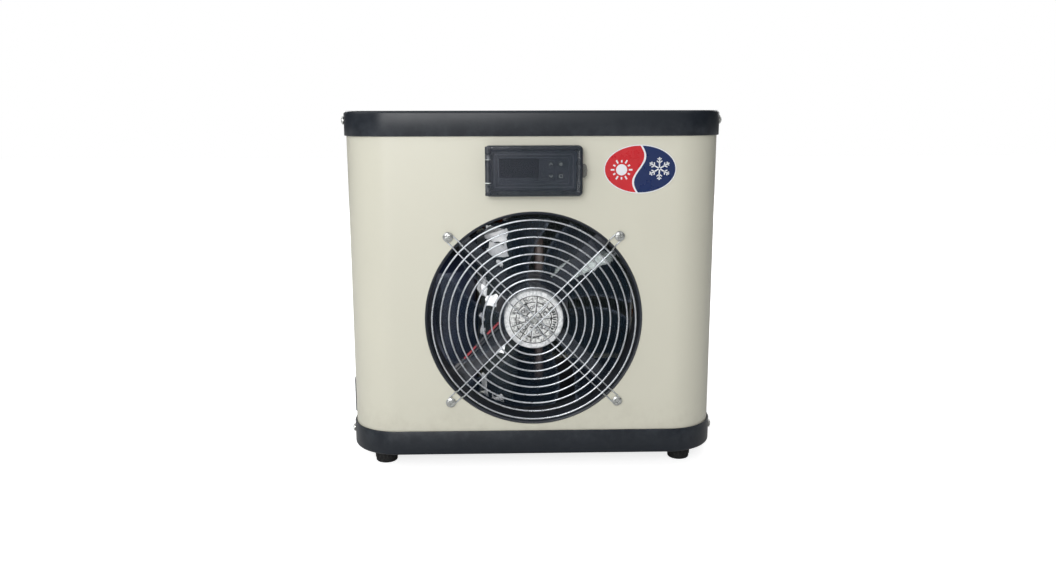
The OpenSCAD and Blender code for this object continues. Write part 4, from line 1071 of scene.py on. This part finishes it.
def keys():
    for node, path in ICONS.items():
        lo, hi = corners(node)
        c = (lo + hi) / 2
        proud, r = FRONT - lo.y, (hi.x - lo.x) / 2
        build = Build(on_front(c.x, c.z, proud))
        base = -(hi.y - lo.y)
        build.lathe([(0, base), (r, base), (r, -0.7), (r - 0.15, -0.3), (r - 0.5, -0.12),
                     (r * 0.4, -0.16), (0, -0.2)], 48)
        build.wire([(x * 1.4, y * 1.4, -0.12) for x, y in path], 0.42, 8, mat=1)
        if node == "button_power":
            build.wire([(0, 0.2, -0.12), (0, 1.6, -0.12)], 0.42, 8, mat=1)
        build.make(node + "_cap", ["key", "icon"], "button_grey", [node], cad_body(node))


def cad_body(node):
    for body, members in frame["record"]["behaviour"]["bodies"].items():
        if node in members:
            return body
    return "casing"


housing()
controller()
display()
cover()
keys()


# ---- badge

def badge():
    """Oval badge: a sun on a red half and a frost star on a navy half, parted by a white wave."""
    lo, hi = corners("badge")
    a, b = (hi.x - lo.x) / 2, (hi.z - lo.z) / 2
    c = (lo + hi) / 2
    thick = hi.y - lo.y
    build = Build(on_front(c.x, c.z, FRONT - hi.y))
    film = 0.06

    def oval(k, z):
        return [((a - k) * cos(TAU * i / 120), (b - k) * sin(TAU * i / 120), z) for i in range(120)]
    face = thick - 0.3
    build.solid([oval(0, 0), oval(0, face - 0.15), oval(0.15, face), oval(0.5, face)])
    # Navy field, with the red field on its left, up to the wave
    ia, ib = a - 0.9, b - 0.9
    build.solid([oval(0.9, face), oval(0.9, face + film)], mat=1)

    def wave(y, shift):
        return shift + 5.5 * sin(y / ib * pi * 0.9) - 1.0

    def band(left, right, layer, mat, steps=60):
        rows = []
        z0, z1 = face + film, face + layer * film
        for i in range(steps + 1):
            y = ib * sin(pi / 2 * (-1 + 2 * i / steps)) * 0.9999
            edge = ia * sqrt(1 - (y / ib) ** 2)
            x0, x1 = max(left(y), -edge), min(right(y), edge)
            x1 = max(x0, x1)
            rows.append([(x0, y, z0), (x0, y, z1), (x1, y, z1), (x1, y, z0)])
        build.solid(rows, mat=mat)
    band(lambda y: -99, lambda y: wave(y, 0), 2, 2)
    band(lambda y: wave(y, -0.9), lambda y: wave(y, 0.9), 3, 0)

    def plate(points):
        build.solid([[(x, y, z) for x, y in points] for z in (face + film, face + 4 * film)])

    def bar(cx, cy, angle, r0, r1, half):
        u, v = cos(angle), sin(angle)
        plate([(cx + u * r - v * s, cy + v * r + u * s)
               for r, s in ((r0, -half), (r1, -half), (r1, half), (r0, half))])
    sun, star = (-17.5, -0.5), (18.0, 0.5)
    plate([(sun[0] + x, sun[1] + y) for x, y, _ in circle(5.2, 48, 0)])
    for k in range(12):
        bar(*sun, TAU * k / 12, 6.8, 10.2 - 1.2 * (k % 2), 0.75)
    for k in range(6):
        angle = TAU * k / 6 + pi / 6
        bar(*star, angle, 0.9, 10.6, 0.6)
        for r, length in ((5.2, 3.2), (8.0, 2.4)):
            x, y = star[0] + r * cos(angle), star[1] + r * sin(angle)
            for turn in (-1, 1):
                bar(x, y, angle + turn * radians(52), 0.2, length, 0.48)
    build.make("oval_badge", ["white", "navy", "red"], "badge_blue", ["badge"])


badge()


# ---- data plates

def data_plate(name, node, place, size, finish):
    """Pressed plate without lettering: a rolled rim, four rivets and blank data lines."""
    w, h = size
    floor, crown = 1.1, 1.9
    build = Build(place)
    rim = ((0, 0), (0, 1.3), (0.2, 1.7), (0.6, crown), (1.8, crown), (2.2, 1.7), (2.6, floor))
    build.solid([ring(w, h, 3, inset, z, 8, support=0.5) for inset, z in rim])
    rivet = [(1.9, 0.9), (1.9, 1.2), (1.5, 1.55), (0.8, 1.75), (0, 1.8)]
    for x in (-1, 1):
        for y in (-1, 1):
            build.lathe(rivet, 24, 2, moved(x * (w / 2 - 6.5), y * (h / 2 - 6.5), 0))
    for k in range(int((h - 14) / 4.6) + 1):
        y = h / 2 - 9 - k * 4.6
        start, share = 13 - w / 2, (0.75, 0.86, 0.6, 0.8, 0.5)[k % 5]
        build.block((start, y - 0.5, 0.9), (start + share * (w - 19), y + 0.5, 1.25), 0.15, 1)
    build.make(name, [finish, "rim", "zinc"], "plate_grey", [node])


def data_plates():
    lo, hi = corners("side_plate")
    middle = (lo + hi) / 2
    to_left = turned(-pi / 2) @ turned(pi / 2, "X")
    place = moved(-HALF_W, middle.y, middle.z) @ to_left
    size = (hi.y - lo.y, hi.z - lo.z)
    data_plate("side_plate_pressing", "side_plate", place, size, "side_plate")
    lo, hi = corners("rating_plate")
    middle = (lo + hi) / 2
    place = moved(middle.x, lo.y, middle.z) @ turned(-pi / 2, "X") @ turned(pi)
    size = (hi.x - lo.x, hi.z - lo.z)
    data_plate("rating_plate_pressing", "rating_plate", place, size, "plate")


data_plates()


# ---- inside

def coil_fins():
    """Thin zigzag fins side by side."""
    lo, hi = corners("evaporator_core")
    pitch, thin, wave = 1.9, 0.14, 1.5
    y0, y1 = lo.y + 1.2, hi.y - 1.2
    build = Build()
    for k in range(int((hi.x - lo.x - 6) / pitch) + 1):
        x = lo.x + 3 + k * pitch
        line = [(x + (wave if i % 2 else 0), y0 + (y1 - y0) * i / 4) for i in range(5)]
        build.solid([[(a - thin, b, z) for a, b in line] + [(a + thin, b, z) for a, b in reversed(line)]
                     for z in (lo.z + 3, hi.z - 3)])
    build.make("coil_fins", ["fins"], "fin_aluminium", ["evaporator_core"], sharp=20)


def coil_end_plates():
    lo, hi = corners("evaporator_core")
    build = Build()
    for x in (lo.x, hi.x - 2):
        build.block((x, lo.y, lo.z), (x + 2, hi.y, hi.z), 0.4)
    build.make("coil_end_plates", ["box"], "fin_aluminium")


def drain_pan():
    """Pan under the coil, with a raised front lip."""
    lo, hi = corners("evaporator_core")
    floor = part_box("base_tray")[0].z / MM + 2.2
    x0, x1, y0 = lo.x - 14, hi.x + 12, lo.y - 9
    build = Build()
    build.block((x0, y0, floor), (x1, hi.y + 3, floor + 3), 0.6)
    build.block((x0, y0, floor + 2.8), (x1, lo.y - 6.5, lo.z + 1.5), 0.6)
    build.make("drain_pan", ["bracket"], "black_plastic")


def coil_tubes():
    """Eleven tubes along the coil, in line with the return bends."""
    lo, hi = corners("evaporator_core")
    pipe_lo, pipe_hi = corners("evaporator_bends")
    radius, y = (pipe_hi.y - pipe_lo.y) / 2, (pipe_lo.y + pipe_hi.y) / 2
    middle, pitch = (lo.z + hi.z) / 2, 21.0
    build = Build()
    for k in range(-5, 6):
        z = middle + k * pitch
        build.wire([(lo.x + 1, y, z), ((lo.x + hi.x) / 2, y, z), (hi.x - 1, y, z)], radius, 20)
    build.make("coil_tubes", ["aged_copper"], "copper")


def crumple(build, path, radius, steps=13, around=11, rough=0.32):
    """Film wound round a path: a tube of uneven flat facets."""
    rng = random.Random(5)
    pts = [Vector(p) for p in path]
    lengths = [0.0]
    for a, b in zip(pts, pts[1:]):
        lengths.append(lengths[-1] + (b - a).length)
    rows = []
    for i in range(steps + 1):
        want = lengths[-1] * (i + (rng.uniform(-0.25, 0.25) if 0 < i < steps else 0)) / steps
        k = max(j for j in range(len(pts) - 1) if lengths[j] <= want + 1e-9)
        t = (want - lengths[k]) / (lengths[k + 1] - lengths[k])
        middle = pts[k].lerp(pts[k + 1], t)
        along = (pts[k + 1] - pts[k]).normalized()
        side = along.cross(Vector((1, 0, 0))).normalized()
        up = along.cross(side)
        ends = 0.75 if i in (0, steps) else 1.0
        rows.append([])
        for j in range(around):
            a = TAU * (j + rng.uniform(-0.33, 0.33) + 0.5 * (i % 2)) / around
            r = radius(want / lengths[-1]) * ends * (1 + rng.uniform(-rough, 0.2 * rough))
            point = middle + side * (r * cos(a)) + up * (r * sin(a))
            rows[-1].append(point + along * rng.uniform(-1.5, 1.5))
    n = around
    faces = [list(range(n)), list(range(steps * n, (steps + 1) * n))]
    for i in range(steps):
        for j in range(n):
            k = (j + 1) % n
            a, b, c, d = i * n + j, i * n + k, (i + 1) * n + k, (i + 1) * n + j
            faces += [[a, b, c], [a, c, d]] if rng.random() < 0.5 else [[a, b, d], [b, c, d]]
    build.add([p for row in rows for p in row], faces)


def tape_patch(build, middle, radius, azimuth, width, low, high, rng):
    """Torn, creased piece of foil tape on a round pipe. Azimuth in degrees from the front, widths in mm."""
    nu, nv = max(3, int(width / 4.5)), max(2, int((high - low) / 4.5))
    half = width / radius / 2
    front, back = [], []
    skew = rng.uniform(-0.35, 0.35)
    for v in range(nv + 1):
        row_f, row_b = [], []
        for u in range(nu + 1):
            end = 1 if u else -1
            drift = rng.uniform(-0.35, 0.35) if 0 < u < nu else rng.uniform(-0.25, 0.1) * end
            side = -1 + 2 * u / nu + drift
            edge = v in (0, nv)
            z = low + (high - low) * (v + (rng.uniform(-0.45, 0.45))) / nv + skew * side * width / 3
            lift = 0.4 + rng.uniform(0, 1.2 if edge else 4.2)
            a = radians(azimuth) + half * side
            for row, r in ((row_f, radius + lift), (row_b, radius - 0.3)):
                row.append((middle[0] + r * sin(a), middle[1] - r * cos(a), z))
        front.append(row_f)
        back.append(row_b)
    rows = [f + list(reversed(b)) for f, b in zip(front, back)]
    build.solid(rows)


def lagging():
    """Black foam round the accumulator and the cold pipe above it, held with torn foil tape."""
    acc_lo, acc_hi = corners("accumulator")
    pipe_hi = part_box("suction_pipe")[1] / MM
    x, y = (acc_lo.x + acc_hi.x) / 2, (acc_lo.y + acc_hi.y) / 2
    acc_r, slim, top = (acc_hi.x - acc_lo.x) / 2 + 0.6, 15.0, pipe_hi.z - 5
    profile = [(6, 33), (slim - 1, 33), (slim, 34), (slim, acc_lo.z - 2), (acc_r - 4, acc_lo.z)]
    profile += [(acc_r, acc_lo.z + 5), (acc_r, acc_hi.z - 10), (slim + 1, acc_hi.z), (slim, acc_hi.z + 4)]
    profile += [(slim, top - 3), (slim - 3, top), (6, top)]
    build = Build()
    build.lathe(profile, 72, place=moved(x, y, 0), loop=True)
    build.make("foam_lagging", ["foam"], "black_plastic", ["accumulator"])

    rng = random.Random(21)
    build = Build()
    # azimuth, width across, lowest and highest point
    for azimuth, width, low, high in (
            (-14, 26, 214, 230), (-2, 22, 198, 212), (4, 7, 188, 194), (-12, 8, 180, 185),
            (-62, 15, 156, 176), (-20, 16, 147, 158), (-66, 9, 128, 138), (-58, 6, 112, 121),
            (-14, 20, 95, 107), (-60, 12, 84, 92), (-58, 8, 56, 68), (-72, 8, 40, 51), (-8, 14, 35, 46)):
        radius = acc_r if acc_lo.z < low <= acc_hi.z else slim
        tape_patch(build, (x, y), radius, azimuth, width, low, high, rng)
    build.make("foil_tape", ["foil"], "bright_steel", sharp=1)


def film_wrap():
    """Creased film round the joint of the wiring loom, hung behind the fan."""
    rng = random.Random(11)
    build = Build()
    path = [(22, -52, 168), (36, -51, 180), (58, -50, 190), (86, -50, 198)]
    crumple(build, path, lambda t: 9.5 + 2.5 * sin(3.0 * t) - 2.5 * t)
    build.make("loom_wrap", ["film"], "plate_grey", sharp=12)
    # Loom from the wrap up to the electrical box
    build = Build()
    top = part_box("electrical_box")[0].z / MM
    for k in range(4):
        dx, dy = rng.uniform(-3, 3), rng.uniform(-3, 3)
        path = [(82 + dx, -50 + dy, 196), (92 + dx, -46 + dy, 206), (97 + dx * 2, -42 + dy * 2, 228),
                (94 + dx, -40 + dy * 2, 248), (90 + dx, -40 + dy, top + 1)]
        build.wire(curve(path, 6), 1.4, 10, mat=k % 2)
    build.make("wiring_loom", ["black", "loom_grey"], "black_plastic")


def curve(points, steps):
    """Smooth curve through points (Catmull-Rom)."""
    pts = [Vector(p) for p in points]
    pts = [2 * pts[0] - pts[1]] + pts + [2 * pts[-1] - pts[-2]]
    out = []
    for a, b, c, d in zip(pts, pts[1:], pts[2:], pts[3:]):
        for i in range(steps):
            t = i / steps
            out.append(0.5 * (2 * b + (c - a) * t + (2 * a - 5 * b + 4 * c - d) * t * t
                              + (3 * b - a - 3 * c + d) * t ** 3))
    return out + [pts[-2]]


def lead_wires():
    """The fan's red and black leads, out of the motor and down to the wall of the casing."""
    reach = 170.0      # z - x along the red lead
    for name, colour, slot, off in (("fan_lead_red", "lead_red", "lead_red", 0.0),
                                    ("fan_lead_black", "black", "black_plastic", -4.5)):
        build = Build()
        y = -94.0
        path = [(-30 - off / 2, y + 3, reach - 30 + off / 2), (-46, y, reach - 45 + off)]
        path += [(-70, y + 1, reach - 71 + off), (-92, y, reach - 92 + off)]
        path += [(-108, y + 8, reach - 112 + off), (-116, y + 22, reach - 130 + off)]
        line = curve(path, 10)
        build.wire(line, 1.15, 12)
        if off == 0:
            build.wire(line[10:16], 1.7, 12, mat=1)
            build.wire(line[20:33], 1.7, 12, mat=1)
        build.make(name, [colour, "black"], slot, ["fan_leads"] if off == 0 else ())


coil_fins()
coil_end_plates()
drain_pan()
coil_tubes()
lagging()
film_wrap()
lead_wires()


# ---- CAD nodes that keep their shape

# Width of the small edge bevel of each node, by material
KEPT = {
    "cream": {"rear_panel": 0.25},
    "zinc": {"foot_bolts": 0.25, "motor_screws": 0.2, "hinge_pin": 0.1, "compressor_studs": 0.2},
    "black": {"rear_grille": 0.3, "cable_gland": 0.3, "gland_nut": 0.3, "drain_spout": 0.4,
              "exchanger_shell": 0.5},
    "fitting": {"inlet_port": 0.4, "outlet_port": 0.4, "inlet_nut": 0.5, "outlet_nut": 0.5,
                "inlet_tail": 0.4, "outlet_tail": 0.4},
    "copper": {"evaporator_bends": 0, "discharge_pipe": 0, "suction_pipe": 0, "liquid_pipe": 0,
               "filter_drier": 0, "capillary": 0},
    "aged_copper": {"coil_header": 0},
    "titanium": {"exchanger_coil": 0},
    "compressor": {"compressor": 0.5},
    "rubber": {"compressor_grommets": 0.4},
    "stator": {"motor_stator": 0.3},
    "bracket": {"motor_bracket": 0.4},
    "box": {"electrical_box": 0.3},
    "beige": {"terminal_block": 0.4},
    "enamel": {"run_capacitor": 0.5},
    "relay": {"relay": 0.5},
}


def keep_node(node, mat, bevel):
    obj = frame["nodes"][node]
    obj.data.materials.clear()
    obj.data.materials.append(M[mat])
    for poly in obj.data.polygons:
        poly.material_index = 0
    smooth(obj.data, 30)
    if bevel:
        mod = obj.modifiers.new("edge", "BEVEL")
        mod.width = bevel * MM
        mod.segments = 2
        mod.limit_method = "ANGLE"
        mod.angle_limit = radians(40)


for mat, nodes in KEPT.items():
    for node, bevel in nodes.items():
        keep_node(node, mat, bevel)


# ---- floor, light, world

def camera_ray(tree):
    """1 on what the camera sees directly, so the studio is white while its bounce stays soft."""
    return tree.nodes.new("ShaderNodeLightPath").outputs["Is Camera Ray"]


def stage():
    me = bpy.data.meshes.new("floor")
    s = 6.0
    me.from_pydata([(-s, -s, 0), (s, -s, 0), (s, s, 0), (-s, s, 0)], [], [[0, 1, 2, 3]])
    floor = add_object("floor", me)
    n = Nodes("floor_paper")
    tone = n.ramp(n.noise(3, 3), 0.3, 0.7)
    away = n.node("VectorMath", {0: n.coord}, operation="LENGTH").outputs["Value"]
    # Seen directly, the floor glows white, and dimmer within 0.6 m of the middle: a soft shadow painted round
    # the unit
    glow_and_painted_shadow = n.math("MULTIPLY", camera_ray(n.tree), n.ramp(away, 0.25, 0.6, 0.78, 1.0))
    colour = n.mix(tone, (0.7, 0.7, 0.7, 1), (0.72, 0.72, 0.72, 1))
    me.materials.append(n.set(Base_Color=colour, Roughness=0.9, Specular_IOR_Level=0.0,
                              Emission_Color=(1, 1, 1, 1), Emission_Strength=glow_and_painted_shadow))


def area(name, at, aim, size, power):
    data = bpy.data.lights.new(name, "AREA")
    data.shape = "RECTANGLE"
    data.size, data.size_y = size
    data.energy = power
    obj = add_object(name, data)
    obj.location = at
    obj.rotation_euler = (Vector(aim) - Vector(at)).to_track_quat("-Z", "Y").to_euler()


WORLD_LIGHT = 0.1


def world():
    w = bpy.data.worlds.new("studio")
    bpy.context.scene.world = w
    w.use_nodes = True
    t = w.node_tree
    background = t.nodes["Background"]
    background.inputs["Color"].default_value = (1, 1, 1, 1)
    mix = t.nodes.new("ShaderNodeMapRange")
    mix.inputs["To Min"].default_value = WORLD_LIGHT
    mix.inputs["To Max"].default_value = 1.0
    t.links.new(camera_ray(t), mix.inputs["Value"])
    t.links.new(mix.outputs["Result"], background.inputs["Strength"])


stage()
world()
area("key", (-0.45, -1.5, 0.66), (-0.05, 0, 0.25), (0.6, 1.0), 9.9)
area("left", (-1.9, -0.6, 1.5), (0, 0, 0.15), (2.2, 2.0), 16)
area("right", (1.1, -1.7, 1.4), (0, 0, 0.15), (1.2, 1.2), 3.8)
area("flash", (-0.12, -1.15, 0.52), (0, 0, 0.15), (0.22, 0.16), 1.4)
area("top", (0, 0.1, 2.2), (0, 0, 0), (2.4, 2.0), 15)
area("back", (-0.6, 2.2, 0.9), (0, 0, 0.15), (1.6, 1.0), 24)
area("back_right", (1.3, 2.5, 0.9), (0, 0, 0.15), (1.2, 1.0), 14)
# Daylight that falls in through the guard, from just behind the fan towards the coil
area("inside", (0, (FRONT + 50) * MM, FAN.z * MM), (0, 0, FAN.z * MM), (0.19, 0.19), 0.27)
bpy.context.scene.view_settings.view_transform = "Standard"
bpy.context.scene.view_settings.look = "None"
